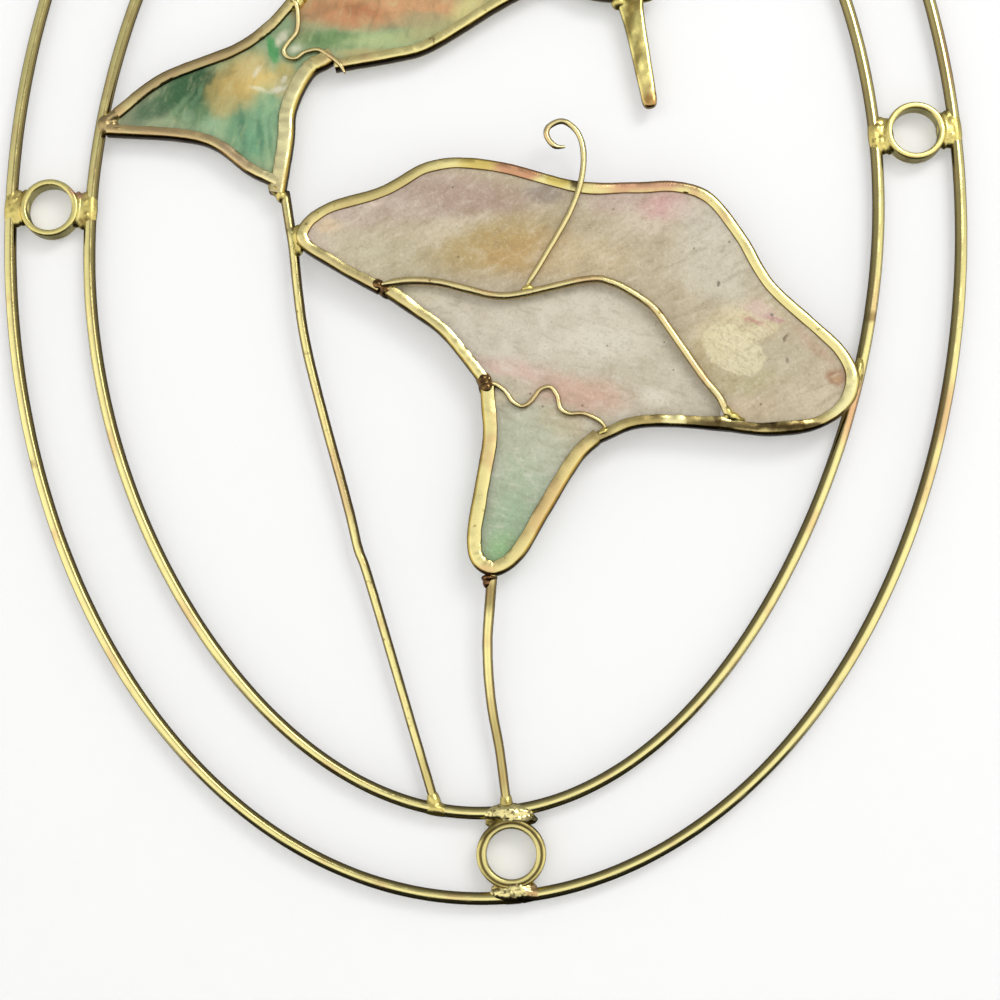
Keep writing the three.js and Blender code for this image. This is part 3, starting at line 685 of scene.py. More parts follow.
def capiz(name, base, patches, haze, depth, streak_turn=30.0, streak=0.3, crackled=0.19, ragged=3.0,
          flakes=()):
    """Dyed windowpane oyster shell: milky layers, mica streaks, fine crackle and a pearly coat."""
    material, tree, shader, coords = new_material(name)
    pushed = wander(tree, wander(tree, coords, 5.0, ragged), 1.2, 1.0)
    colour = paint(tree, pushed, linear(base), patches)
    clouds = grain(tree, coords, 4.5, 3.0, 0.55, 0.5)
    colour = mixed(tree, span(tree, clouds, 0.5, 0.75, 0.0, 0.26), colour, linear(haze))
    colour = mixed(tree, span(tree, clouds, 0.5, 0.25, 0.0, 0.28), colour, linear(depth))
    for flake in flakes:
        colour = wrinkled(tree, wander(tree, coords, 3.0, 3.2), colour, flake)
    near = wander(tree, coords, 4.0, 1.5)
    turned = stretched(tree, near, streak_turn, 3.3)
    streaks = grain(tree, turned, 1.4, 2.0, 0.5)
    colour = mixed(tree, span(tree, streaks, 0.52, 0.76, 0.0, streak), colour, linear(haze))
    colour = mixed(tree, span(tree, streaks, 0.48, 0.24, 0.0, streak), colour, linear(depth))
    crackle = grain(tree, coords, 0.6, 2.0, 0.6, 0.8)
    colour = mixed(tree, span(tree, crackle, 0.52, 0.74, 0.0, crackled), colour, linear("#F2EBD8"))
    colour = mixed(tree, span(tree, crackle, 0.48, 0.26, 0.0, crackled * 1.6), colour, linear(depth))
    specks = node(tree, "ShaderNodeTexVoronoi", {
        "Vector": coords, "Scale": 1 / (5.0 * MILLIMETRE)}).outputs[0]
    colour = mixed(tree, span(tree, specks, 0.07, 0.03, 0.0, 0.6), colour, linear("#5C4A32"))
    tree.links.new(colour, shader.inputs["Base Color"])
    shader.inputs["Roughness"].default_value = 0.42
    shader.inputs["Specular IOR Level"].default_value = 0.3
    shader.inputs["Coat Weight"].default_value = 0.18
    shader.inputs["Coat Roughness"].default_value = 0.2
    shader.inputs["IOR"].default_value = 1.53
    bumped(tree, shader, times(tree, streaks, crackle, "ADD"), 0.12, 0.35)
    return material


# Shell paint: x, z, half width, half height, turn, colour, strength, softness
PETAL_PATCHES = [
    (-30, -151, 9, 5, 10, "#C6B2A4", 0.9, 0.6), (-14, -145, 14, 5, 0, "#BEAA9C", 0.9, 0.6),
    (-2, -145, 12, 4, -6, "#AD9382", 0.9, 0.6), (-23, -156, 10, 4, -25, "#C3B99B", 0.9, 0.6),
    (-12, -158, 9, 5, 20, "#BDB292", 0.9, 0.6), (3, -155, 12, 5, 10, "#B39A62", 0.95, 0.6),
    (10, -157, 9, 4, 0, "#BE9C60", 0.9, 0.6), (20, -159, 9, 5, 0, "#CBB892", 0.8, 0.6),
    (-31, -151, 2.6, 1.6, 0, "#DCC3A0", 0.8, 0.5), (-21, -145.5, 2, 1.2, 0, "#DDC8B4", 0.7, 0.5),
    (13, -144.5, 4.5, 2, -10, "#94857A", 0.8, 0.6), (28, -146, 6, 3, 0, "#C0A79B", 0.8, 0.6),
    (34, -151, 5, 3, 0, "#D3C5AE", 0.8, 0.6), (38, -147.4, 5, 3, 0, "#CE9F9A", 0.85, 0.6),
    (46, -152, 7, 5, -40, "#CBC3B2", 0.8, 0.6), (47, -161, 9, 6, -30, "#CCC5B0", 0.8, 0.6),
    (51, -173, 8, 5, 20, "#DDCEA4", 0.8, 0.5), (56, -169, 3, 1.6, -30, "#CFAFA2", 0.8, 0.5),
    (45, -179, 6, 4, 40, "#BBAB80", 0.85, 0.6), (57, -179, 7, 4, 0, "#BDB396", 0.8, 0.6),
    (70.7, -182.6, 2.2, 1.9, 0, "#A0704C", 0.8, 0.35), (71, -182.8, 1.1, 0.9, 0, "#C09C74", 0.8, 0.4),
    (55.6, -171.9, 2.8, 0.7, -25, "#C08A7C", 0.8, 0.5), (58.4, -170.9, 2.2, 0.6, -20, "#BE8E88", 0.8, 0.5),
    (57.9, -169.9, 0.45, 0.45, 0, "#544A3A", 0.85, 0.5), (48, -163.5, 0.4, 0.4, 0, "#6E6250", 0.8, 0.5),
    (61, -175, 0.3, 0.6, 0, "#6E6250", 0.8, 0.5), (60.8, -179.3, 0.35, 0.7, 0, "#6E6250", 0.8, 0.5),
    (66.5, -176.5, 5, 0.9, -42, "#BC9C82", 0.6, 0.6), (52, -183.5, 7, 2.6, 10, "#B5AA7E", 0.7, 0.6),
    (54, -188.5, 5, 1.8, 0, "#CDB79A", 0.8, 0.6),
    (66, -187, 6, 3, 0, "#CBBDA0", 0.8, 0.6), (-8, -152, 6, 2, 20, "#D9CBB0", 0.5, 0.6),
]
LOWER_PATCHES = [
    (-12, -165, 7, 3.5, -20, "#D8CEAE", 0.9, 0.6), (0, -169, 12, 5, -10, "#CCC2AE", 0.8, 0.6),
    (20, -167, 14, 4, 0, "#D2CAB6", 0.8, 0.6), (10, -175, 14, 5, 0, "#CDC3B0", 0.8, 0.6),
    (25, -175, 9, 4, 0, "#D9D2BE", 0.8, 0.6), (7, -180.5, 9, 1.8, -12, "#D4B4A4", 0.85, 0.6),
    (20, -186, 9, 3.5, -8, "#CFA994", 0.9, 0.6), (36, -187, 3.5, 1.8, 0, "#DED5C2", 0.8, 0.5),
    (42, -184, 5, 4, 0, "#C8BEA9", 0.8, 0.6), (4, -186.4, 3, 1.4, 0, "#E0D3AE", 0.8, 0.6),
    (9, -191, 8, 4, 0, "#BABAA2", 0.9, 0.5), (17, -192, 5, 3, -30, "#C0B492", 0.8, 0.6),
    (9, -197, 9, 5, 0, "#B2B89C", 0.9, 0.6), (8, -205, 8, 6, 0, "#A8B99A", 0.9, 0.6),
    (6, -213, 6, 6, 0, "#9DB894", 0.95, 0.6), (4.5, -218, 4, 3.5, 0, "#93BC84", 0.95, 0.6),
    (7, -217, 1.6, 1.6, 0, "#7F9A6E", 0.7, 0.5),
]
BIRD_PATCHES = [
    (-70, -126, 8, 5, 20, "#8A9070", 0.95, 0.5), (-66, -128.6, 5, 2, 0, "#8FA07C", 0.9, 0.6),
    (-67, -124.4, 5, 2.4, 32, "#4A6A48", 0.9, 0.5), (-60.4, -121.4, 5.5, 4.6, 35, "#2E5C34", 0.95, 0.5),
    (-57.6, -119.6, 3.6, 2.6, 35, "#27502C", 0.9, 0.5), (-59, -126, 4.2, 2.4, 0, "#567A50", 0.9, 0.6),
    (-60.6, -126.6, 1.4, 1.4, 0, "#8BA680", 0.8, 0.6), (-53.6, -129, 4.6, 2.2, -6, "#93B48C", 0.9, 0.6),
    (-54.6, -121.6, 2.6, 3.4, 0, "#9A8E50", 0.85, 0.6), (-49.8, -119.6, 5, 5, 35, "#C0A25A", 0.95, 0.6),
    (-52.4, -124.8, 3, 2.4, 20, "#B2A266", 0.9, 0.6), (-47, -116.4, 3.2, 3.4, 20, "#CDB87A", 0.9, 0.6),
    (-45, -119.8, 4, 2.2, 10, "#DABE72", 0.95, 0.6), (-48.6, -129.4, 4, 3.8, 0, "#66946C", 0.95, 0.6),
    (-46, -132.4, 4.4, 4, 0, "#70A27A", 0.95, 0.6), (-44, -126, 3.2, 4.6, 0, "#84AE84", 0.9, 0.6),
    (-42, -134, 2.8, 4, 0, "#9AB88C", 0.85, 0.6), (-43, -112.8, 1.2, 3, 15, "#4C9A58", 0.95, 0.35),
    (-40, -120.4, 3, 2.4, 0, "#CBC08A", 0.9, 0.6), (-40.6, -117.4, 2, 2, 0, "#BAA966", 0.9, 0.6),
    (-41.2, -110.2, 1.7, 0.8, 50, "#E4DEC4", 0.8, 0.7), (-46.2, -117.4, 1.2, 0.5, 60, "#E9E0C0", 0.7, 0.7),
    (-41.6, -121, 1.7, 0.6, 20, "#EAE4CC", 0.8, 0.7), (-45.8, -121.2, 1.8, 0.5, -20, "#E6DEBE", 0.7, 0.7),
    (-40.6, -119, 0.8, 0.5, 60, "#EAE4CC", 0.7, 0.7), (-38.6, -112.4, 1.4, 0.8, 30, "#DDDCC0", 0.7, 0.7),
    (-49.2, -129.6, 0.8, 4.4, 6, "#48785A", 0.7, 0.7), (-45.4, -130.4, 0.6, 4, 4, "#4E8260", 0.7, 0.7),
    (-43.2, -132.6, 0.5, 3.4, 8, "#568A66", 0.6, 0.7), (-62.4, -124.6, 3.6, 0.6, 50, "#7E9E74", 0.6, 0.7),
    (-58.2, -121.6, 3.4, 0.5, 58, "#6A9068", 0.6, 0.7), (-56, -118.6, 2.4, 0.7, 60, "#1E4826", 0.7, 0.6),
    (-36.4, -109, 2.6, 2.4, 0, "#8C8E62", 0.9, 0.6), (-36, -104.4, 3, 2.6, 0, "#A58A5C", 0.9, 0.6),
    (-27, -104.6, 10, 4, -6, "#C4875A", 0.95, 0.5), (-14, -103.8, 13, 4, -8, "#D09A6A", 0.95, 0.5),
    (-24.6, -104.6, 4, 1.6, -10, "#B67448", 0.85, 0.6), (-30, -110.8, 7, 2, -2, "#709058", 0.95, 0.45),
    (-18, -111, 9, 1.8, 2, "#AEBE84", 0.9, 0.5), (-9, -109, 7, 2.2, 10, "#B0AC76", 0.9, 0.6),
    (-12, -106.6, 5, 1.6, 0, "#A89E72", 0.8, 0.6), (-1.6, -104.6, 5, 2.6, 25, "#D6CC86", 0.95, 0.6),
    (-22, -114, 8, 1.2, 0, "#C2B274", 0.85, 0.6),
    (10, -96, 12, 8, 0, "#B88A5E", 0.85, 0.7), (24, -92, 9, 8, 0, "#7FA27A", 0.9, 0.6),
    (-18, -92, 14, 6, 30, "#B98653", 0.85, 0.7), (8, -84, 16, 5, 8, "#7C9F78", 0.9, 0.6),
    (29, -85, 4, 3, 0, "#5E8A62", 0.8, 0.6),
]
# Loose flakes on the petal: x, z, half width, half height, turn, colour, colour of the creases
PETAL_FLAKES = [
    (50.6, -177.2, 6.6, 4.4, -34, "#EADFB6", "#A2946A"), (56, -173.6, 3.6, 1.5, 20, "#E0D4AC", "#948660"),
]
# Wing paint, at the same measures as the shells
WING_PATCHES = [
    (-26, -66, 9, 12, 20, "#9FB58C", 0.8, 0.7), (-32, -56, 5, 9, 20, "#C7B57E", 0.8, 0.7),
    (-22, -80, 8, 6, 0, "#B98F62", 0.8, 0.7), (18, -62, 9, 12, -30, "#9FB58C", 0.8, 0.7),
    (26, -52, 5, 8, -30, "#C7B57E", 0.8, 0.7), (9, -72, 8, 5, 0, "#B98F62", 0.8, 0.7),
]
# Oval tints: copper flush and brown spots
OVAL_PATCHES = [
    (98, -112, 4, 10, 0, "#DE9C7C", 0.75, 0.6), (75.5, -190, 4, 7, 0, "#DE9C7C", 0.7, 0.6),
    (93, -190, 4, 6, 0, "#D8A27E", 0.6, 0.6), (-94, -199, 4, 1, 0, "#8A6234", 0.8, 0.5),
    (-91, -213, 4, 1, 0, "#8A6234", 0.8, 0.5), (79.5, -170, 4, 1.2, 0, "#8A6234", 0.7, 0.5),
]
# Ring tints: bright bores, burnt brown solder at the foot ring, dark notches beside the side rings
RING_PATCHES = [
    (6.4, -276.2, 6.9, 6.9, 0, "#EBDC90", 0.7, 0.1), (-88, -145.5, 6.1, 6.1, 0, "#F2E698", 0.8, 0.1),
    (88.2, -131.4, 6.1, 6.1, 0, "#EEE094", 0.8, 0.1), (-77, -128, 3.4, 4, 0, "#B29C70", 0.85, 0.4),
    (-83, -142.6, 1.6, 0.9, -35, "#E0A888", 0.8, 0.5), (-81, -149, 1.3, 1.6, 0, "#8A7440", 0.8, 0.5),
    (6.9, -268.6, 7, 2.2, 0, "#5A4220", 0.75, 0.6), (5, -268.2, 2.4, 1.2, 0, "#F2DE8C", 0.8, 0.5),
    (11.6, -270.6, 1.6, 2.4, 40, "#3A2814", 0.8, 0.5), (7, -284, 6.5, 2.2, 0, "#8A5E34", 0.6, 0.6),
    (4, -283.6, 2.2, 1.2, 0, "#F2DE8C", 0.8, 0.5), (9.8, -284.2, 2.2, 1.2, 0, "#C98E6A", 0.8, 0.5),
    (1.6, -271.4, 1.2, 2.4, -35, "#3A2814", 0.7, 0.5), (94.5, -136.8, 2, 1, -20, "#6A5426", 0.7, 0.5),
]
# Soot left at the foot ring by the soldering flame
CRUST_PATCHES = [
    (10.8, -269.9, 2.4, 1.5, 20, "#2E2010", 0.9, 0.5), (2.6, -270.6, 1.4, 1.1, -30, "#2E2010", 0.85, 0.5),
    (6.4, -270.9, 3.2, 0.7, 6, "#3E2C14", 0.8, 0.5), (7.4, -285.4, 5, 0.7, 0, "#4A3018", 0.8, 0.5),
    (10.4, -283.4, 1.6, 1.4, 0, "#B07E58", 0.7, 0.5), (6.8, -281.8, 3, 0.7, 0, "#4A3018", 0.8, 0.5),
]
# Stem tints: dulled lengths, a brown spot under the calyx and a copper flush
STEM_PATCHES = [
    (4.2, -256, 3, 12, 0, "#A08A52", 0.7, 0.6), (2, -226, 2, 3, 0, "#6E5630", 0.7, 0.6),
    (-10, -262, 3, 6, 0, "#C0AA66", 0.6, 0.6), (-28, -205, 4, 6, 15, "#C99A78", 0.5, 0.6),
]
# Beak tints: a copper tip, an olive stripe down its middle and a stain at its root
BEAK_PATCHES = [
    (34.4, -125, 1.6, 1.8, 0, "#B5854E", 0.85, 0.6), (30.2, -108, 1.1, 7, -10, "#8E7A3C", 0.8, 0.6),
    (31.4, -118, 0.8, 7, -10, "#9A8442", 0.7, 0.6), (33.5, -104, 3.5, 2, 0, "#8A7438", 0.7, 0.6),
]
# Strip tints: flushed copper, bright and brown stretches, and painted shade along the underside at the lip
STRIP_PATCHES = [
    (0, -137.6, 4.2, 2.4, 0, "#D9BF62", 0.8, 0.5), (7.6, -139.4, 4.8, 2.6, -12, "#D49A78", 0.9, 0.3),
    (16, -141.6, 2.6, 2, -10, "#E3CC6E", 0.9, 0.3), (19.4, -142.6, 1.2, 1.8, 0, "#4A3620", 0.9, 0.4),
    (33, -142, 10.5, 2.6, 0, "#D9A284", 0.85, 0.4), (-22, -143, 12, 4, 20, "#B9A468", 0.6, 0.6),
    (36.5, -191.5, 10, 3, 0, "#9C8048", 0.7, 0.6), (24, -194, 2.4, 2.4, 0, "#6E5630", 0.7, 0.5),
    (-11, -172, 4, 7, -40, "#CDBE86", 0.5, 0.6), (14, -204, 6, 14, -30, "#E9CE8C", 0.6, 0.6),
    (-40.5, -127, 4.5, 17, -8, "#FFF6BC", 0.9, 0.4), (-58, -114, 20, 6, 31, "#AD946C", 0.8, 0.4),
    (-45.5, -106.8, 2.4, 1.6, 30, "#F3E6AE", 0.8, 0.5),
    (-52, -110, 5, 2.6, 28, "#9C8858", 0.6, 0.6), (-62, -130, 14, 3, -4, "#C8AC80", 0.8, 0.5),
    (-50, -135, 5, 4, -40, "#C9A98C", 0.7, 0.5), (-27, -162, 14, 3, -30, "#D2BE88", 0.7, 0.5),
    (60, -192.5, 11, 2.6, 4, "#B79C64", 0.6, 0.5), (73, -187, 5, 4, 30, "#FBF2B4", 0.8, 0.5),
    # Painted shade along the underside of the lip's strip
    (53, -192.4, 12.5, 0.9, -1, "#3A2A14", 0.85, 0.4), (64, -192.9, 6, 0.8, 2, "#3A2A14", 0.8, 0.4),
    (38.4, -191.2, 2.2, 1.5, 0, "#FFF4B4", 0.9, 0.3), (57.8, -191.6, 0.7, 1.6, 20, "#3E2E16", 0.8, 0.4),
    (63.6, -192, 0.7, 1.4, 20, "#4A381C", 0.8, 0.4), (47, -191, 0.8, 1.6, 10, "#4A381C", 0.7, 0.4),
]


# The ovals
def build_ovals():
    # Polished brass wire: a bright gold line, with painted shade on the inside of each oval and along its
    # rims
    wire_brass = brass("polished_brass_wire", rough=0.17, copper_share=0.35, dark_from=0.68, inward=0.85,
                       rim=0.6, patches=OVAL_PATCHES)
    for name, point_at in (("outer_oval", outer_point), ("inner_oval", inner_point)):
        points = [point_at(math.tau * i / OVAL_POINTS) for i in range(OVAL_POINTS)]
        piece = wire(name + "_wire", points, OVAL_WIRE, closed=True)
        roughen(piece, OVAL_RELIEF)
        apply_modifiers(piece)
        finish_piece(piece, wire_brass, "oval_wire", name)


# Link rings with their solder
def ring_band(centre, width, bore, softness):
    deselect_all()
    bpy.ops.mesh.primitive_cylinder_add(
        vertices=72, radius=width / 2 * MILLIMETRE, depth=LINK_DEPTH * MILLIMETRE,
        location=centre * MILLIMETRE, rotation=(math.radians(90), 0, 0))
    band = bpy.context.object
    bpy.ops.object.mode_set(mode="EDIT")
    bpy.ops.mesh.select_mode(type="FACE")
    bpy.ops.mesh.select_all(action="DESELECT")
    bpy.ops.object.mode_set(mode="OBJECT")
    for face in band.data.polygons:
        face.select = len(face.vertices) > 4
    bpy.ops.object.mode_set(mode="EDIT")
    bpy.ops.mesh.inset(thickness=(width - bore) / 2 * MILLIMETRE)
    bpy.ops.mesh.bridge_edge_loops()
    bpy.ops.object.mode_set(mode="OBJECT")
    bevel = band.modifiers.new("soft_edges", "BEVEL")
    bevel.limit_method = "ANGLE"
    bevel.width = softness * MILLIMETRE
    bevel.segments = 4
    apply_modifiers(band)
    return band


def link_gap(angle):
    """The middle between the two ovals where a ring links them, the way inwards and half the gap."""
    outer = outer_point(angle)
    candidates = [inner_point(math.tau * i / SEARCH_POINTS) for i in range(SEARCH_POINTS)]
    inner = min(candidates, key=lambda point: (point - outer).length)
    return outer.lerp(inner, 0.5), (inner - outer).normalized(), (inner - outer).length / 2


def web_drops(rim, half_gap):
    """Solder between a ring and an oval: place along the gap and beside it, then the half sizes."""
    return [
        ((rim + half_gap) / 2 - 0.3, 0.0, (2.3, 1.4, 3.8)), (half_gap, 0.2, (1.38, 1.4, 5.4)),
        (half_gap - 1.1, 2.4, (1.6, 1.15, 1.6)), (half_gap - 1.1, -2.5, (1.6, 1.15, 1.6)),
        (rim - 0.5, 0.2, (1.2, 1.75, 3.9)), (half_gap - 0.6, -1.2, (1.4, 1.5, 1.8)),
        (half_gap - 0.9, 1.5, (1.2, 1.45, 1.3)),
    ]


def solder_group(piece, middle, direction, rim):
    """Marks the webs outside a ring, so that its bore stays smooth when they are roughened."""
    group = piece.vertex_groups.new(name="solder")
    for vertex in piece.data.vertices:
        along = abs((vertex.co / MILLIMETRE - middle).dot(direction))
        group.add([vertex.index], min(1.0, max(0.0, (along - rim + 1.3) / 1.5)), "REPLACE")
    return group


def link_ring(name, angle, bands, material, spread=1.0, gnarl=0.1):
    """A ring between the ovals with its two webs of solder, spread along the ovals and gnarled."""
    middle, direction, half_gap = link_gap(angle)
    across = Vector((-direction.z, 0, direction.x))
    turn = math.degrees(math.atan2(direction.z, direction.x))
    rim = bands[0][0] / 2
    made = [ring_band(middle, *band) for band in bands]
    for side in (-1, 1):
        for along, shift, (length, depth, breadth) in web_drops(rim, half_gap):
            spot = middle + direction * along * side + across * shift * spread
            made.append(drop(spot, (length, depth, breadth * spread), turn))
    piece = melt(name + "_soldered", made, RING_SKIN, WEB_SETTLING)
    apply_modifiers(piece)
    group = solder_group(piece, middle, direction, rim)
    roughen(piece, [(2.2, gnarl), (0.9, gnarl * 0.4)])
    for modifier in piece.modifiers:
        modifier.vertex_group = group.name
    apply_modifiers(piece)
    bpy.ops.object.shade_smooth()
    finish_piece(piece, material, "soldered_rings", name)


def hanging_loop(material):
    deselect_all()
    bpy.ops.mesh.primitive_torus_add(
        major_segments=96, minor_segments=20, major_radius=(LOOP_BORE + LOOP_WIRE) / 2 * MILLIMETRE,
        minor_radius=LOOP_WIRE / 2 * MILLIMETRE, location=place((0, 0, -LOOP_BORE / 2)),
        rotation=(math.radians(90), 0, 0))
    made = [bpy.context.object]
    for x, half in ((0.0, 2.2), (-1.9, 1.7), (1.8, 1.6)):
        made.append(drop((x, 0, -LOOP_BORE - LOOP_WIRE + 0.1), (half, 1.5, 1.2)))
    finish_solder(melt("hanging_loop_soldered", made, RING_SKIN), LOOP_RELIEF, material, "hanging_loop")


def build_rings():
    # Soldered brass: pale gold metal that ran, dull brown in its hollows
    foot = link_gap(FOOT_LINK_ANGLE)[0]
    # Painted lines on the foot ring: a dark line of painted shade where its two bands meet, and a painted
    # highlight on the inner band
    painted_groove_lines = [(foot.x, foot.z, radius, radius, 0, tint, 0.9, 0.03)
            for radius, tint in ((6.25, "#4A3A1A"), (5.7, "#F2E498"))]
    soldered = brass("soldered_brass", light="#E4D27E", dark="#7C6832", rough=0.3, copper_share=0.2,
                     dark_from=0.54, lump=2.0, scratch=0.3, patches=RING_PATCHES, lines=painted_groove_lines)
    link_ring("link_ring_left", LEFT_LINK_ANGLE, SIDE_LINK_BANDS, soldered)
    link_ring("link_ring_right", RIGHT_LINK_ANGLE, SIDE_LINK_BANDS, soldered)
    link_ring("link_ring_head", HEAD_LINK_ANGLE, SIDE_LINK_BANDS, soldered)
    link_ring("link_ring_foot", FOOT_LINK_ANGLE, FOOT_LINK_BANDS, soldered, 1.12, 0.2)
    hanging_loop(soldered)
    return soldered


# Strips round the shells
def build_strips():
    # Folded brass strip: a bright crown between two edges darkened by painted shade, flushed copper by the
    # flame
    strip_brass = brass("folded_brass_strip", light="#F6E8A0", dark="#8A7038", rough=0.24,
                        copper_share=0.5, patches=STRIP_PATCHES, edge=True, scratch=0.3)
    runs = [
        ("petal_edging", on_flower(PETAL_EDGE), FLOWER_Y, STRIP_WIDTH, (1.2, 1.6), PETAL_SWELLS),
        ("lip_edging", on_flower(LIP_EDGE), FLOWER_Y, STRIP_WIDTH, (1.5, 1.2), [(0.05, 0.1, 0.2)]),
        ("calyx_edging", on_flower(CALYX_EDGE), FLOWER_Y, CALYX_STRIP_WIDTH, (0.6, 1.8), []),
        ("cheek_edging", on_flower(CHEEK_EDGE), FLOWER_Y, STRIP_WIDTH, (1.8, 2.4), [(0.95, 0.1, 0.15)]),
        ("tail_top_edging", on_bird(TAIL_TOP_EDGE), BIRD_Y, STRIP_WIDTH, (0, 1.4), []),
        ("back_edging", on_bird(BACK_EDGE), BIRD_Y, STRIP_WIDTH, (1.2, 1.0), []),
        ("belly_edging", on_bird(BELLY_EDGE), BIRD_Y, STRIP_WIDTH, (1.0, 3.4), []),
        ("tail_back_edging", on_bird(TAIL_BACK_EDGE), BIRD_Y, TAIL_BACK_STRIP_WIDTH, (2.2, 0.4), []),
        ("tail_foot_edging", tail_foot_line(), BIRD_Y, STRIP_WIDTH, (1.6, 0), []),
    ]
    runs += [(name + "_edging", wing_lines(*wing)[0], BIRD_Y, STRIP_WIDTH, (0, 0), [])
             for name, wing in WINGS.items()]
    for name, points, y, width, reach, swells in runs:
        piece = strip(name + "_strip", points, y, width, reach, swells)
        roughen(piece, STRIP_RELIEF)
        apply_modifiers(piece)
        bpy.ops.object.shade_smooth_by_angle(angle=math.radians(50))
        finish_piece(piece, strip_brass, "brass_strip", name)


# The beak
def build_beak():
    outline = [Vector((p.x, p.z, 0)) * MILLIMETRE for p in drawn(on_bird(BEAK_EDGE), 8)]
    piece = add_curve("beak_bar", outline, [1.0] * len(outline), True, "2D")
    piece.data.fill_mode = "BOTH"
    piece.data.extrude = (BEAK_DEPTH / 2 - 0.5) * MILLIMETRE
    piece.data.bevel_depth = 0.5 * MILLIMETRE
    piece.data.offset = -0.5 * MILLIMETRE
    piece.data.bevel_resolution = 3
    bpy.ops.object.convert(target="MESH")
    piece.location.y = BIRD_Y * MILLIMETRE
    flat_to_front(piece)
    clean_mesh(piece)
    even_skin(piece, BEAK_SKIN, SETTLING)
    roughen(piece, BEAK_RELIEF)
    apply_modifiers(piece)
    bpy.ops.object.shade_smooth()
    # Beak brass: filed bright, stained olive and brown
    beak_brass = brass("beak_brass", light="#F9EA94", dark="#7A6232", rough=0.2, copper_share=0.3,
                       patches=BEAK_PATCHES, lump=3.0)
    finish_piece(piece, beak_brass, "brass_strip", "beak")


# Wires on the shells, the stamen and the stems
def build_wires():
    # Fine brass wire: thin duller gold lines on the shells, with painted shade along their rims
    fine = brass("fine_brass_wire", light="#F1E0A0", dark="#7C6534", rough=0.28, copper_share=0.4, rim=0.7)
    petal_front = FLOWER_Y - PETAL_LAYER - SHELL / 2 - CLEARANCE
    lower_front = FLOWER_Y + PETAL_LAYER - SHELL / 2 - CLEARANCE
    bird_front = BIRD_Y - SHELL / 2 - CLEARANCE
    runs = [
        ("petal_wire", on_flower(PETAL_LINE, petal_front - PETAL_WIRE / 2), PETAL_WIRE),
        ("calyx_wire", on_flower(CALYX_LINE, lower_front - FINE_WIRE / 2), FINE_WIRE),
        ("stamen_wire", stamen_line(), STAMEN_WIRE),
        ("rump_wire", rump_line(), FINE_WIRE),
    ]
    for name, wing in WINGS.items():
        for i, line in enumerate(wing_lines(*wing)[1]):
            for point in line:
                point.y = bird_front - FINE_WIRE / 2
            runs.append((f"{name}_feather_wire_{i + 1}", line, FINE_WIRE))
    for name, points, diameter in runs:
        line = drawn(points)
        piece = wire(name + "_round", line, diameter, radii=thinned(line, 2.2, 0.6))
        roughen(piece, FINE_RELIEF)
        apply_modifiers(piece)
        finish_piece(piece, fine, "fine_wire", name)


def build_stems():
    # Stem wire: one bright band down the front between sides browned by painted shade
    stem = brass("stem_brass_wire", rough=0.18, copper_share=0.35, dark_from=0.6, inward=0.7, rim=0.85,
                 rim_from=0.85, patches=STEM_PATCHES)
    for name, points in (("flower_stem", flower_stem_line()), ("long_stem", long_stem_line())):
        line = reaching(drawn(points, 24), 1.4, 0)
        radii = [1.03 - 0.16 * i / len(line) for i in range(len(line))]
        piece = wire(name + "_round", line, STEM_WIRE, radii=radii)
        roughen(piece, STEM_RELIEF)
        apply_modifiers(piece)
        finish_piece(piece, stem, "stem_wire", name)


# Solder where strips, wires and stems meet
def wing_drops(root, angle):
    edge = wing_lines(root, angle)[0]
    tip = edge[len(WING_TRAILING_EDGE) + 1]
    spots = ((tip, (2.0, 1.6, 1.5)), (edge[0], (1.9, 1.8, 1.4)), (edge[-1], (1.9, 1.8, 1.4)))
    return [(*(spot + Vector((0, 0.1, -0.5))), *sizes, 20) for spot, sizes in spots]


def stem_drops(line, angle):
    foot = line[-1]
    along = inner_point(angle + 0.03) - inner_point(angle - 0.03)
    slope = math.degrees(math.atan2(along.z, along.x))
    rise = (line[-2] - foot).normalized()
    lean = math.degrees(math.atan2(rise.z, rise.x))
    return [(*(foot + rise * 1.5), 2.6, 1.15, 1.3, lean), (*foot, 4.2, 1.36, 1.4, slope)]


def build_solder(gold):
    # Browned solder: small burnt lumps. Crusted solder: bright metal broken up by soot
    brown = brass("browned_solder", light="#8A6C42", dark="#34261A", copper="#9C6A48", rough=0.3,
                  copper_share=0.5, dark_from=0.44, lump=1.2, scratch=0.4)
    crusted = brass("crusted_solder", light="#F6E8A2", dark="#3A2412", copper="#C98E6A", rough=0.24,
                    copper_share=0.4, dark_from=0.5, lump=1.1, scratch=0.4, patches=CRUST_PATCHES)
    joints = [
        ("petal_tip_solder", PETAL_TIP_DROPS, gold), ("cheek_solder", CHEEK_DROPS, brown),
        ("stamen_solder", STAMEN_DROPS, gold), ("calyx_left_solder", CALYX_LEFT_DROPS, brown),
        ("calyx_right_solder", CALYX_RIGHT_DROPS, gold), ("lip_solder", LIP_DROPS, gold),
        ("calyx_foot_solder", CALYX_FOOT_DROPS, brown), ("flower_tip_solder", TIP_DROPS, gold),
        ("tail_tip_solder", TAIL_TIP_DROPS, gold), ("tail_corner_solder", TAIL_CORNER_DROPS, gold),
        ("rump_solder", RUMP_DROPS, gold), ("beak_solder", BEAK_DROPS, gold),
        ("foot_ring_solder", FOOT_RING_DROPS, crusted),
        ("long_stem_solder", stem_drops(long_stem_line(), LONG_STEM_ANGLE), gold),
        ("flower_stem_solder", stem_drops(flower_stem_line(), FLOWER_STEM_ANGLE), gold),
    ]
    joints += [(name + "_solder", wing_drops(*wing), gold) for name, wing in WINGS.items()]
    for name, blobs, material in joints:
        made = [drop(blob[:3], blob[3:6], blob[6]) for blob in blobs]
        relief = CRUSTED_RELIEF if material is crusted else SOLDER_RELIEF
        finish_solder(melt(name, made, DROP_SKIN), relief, material)


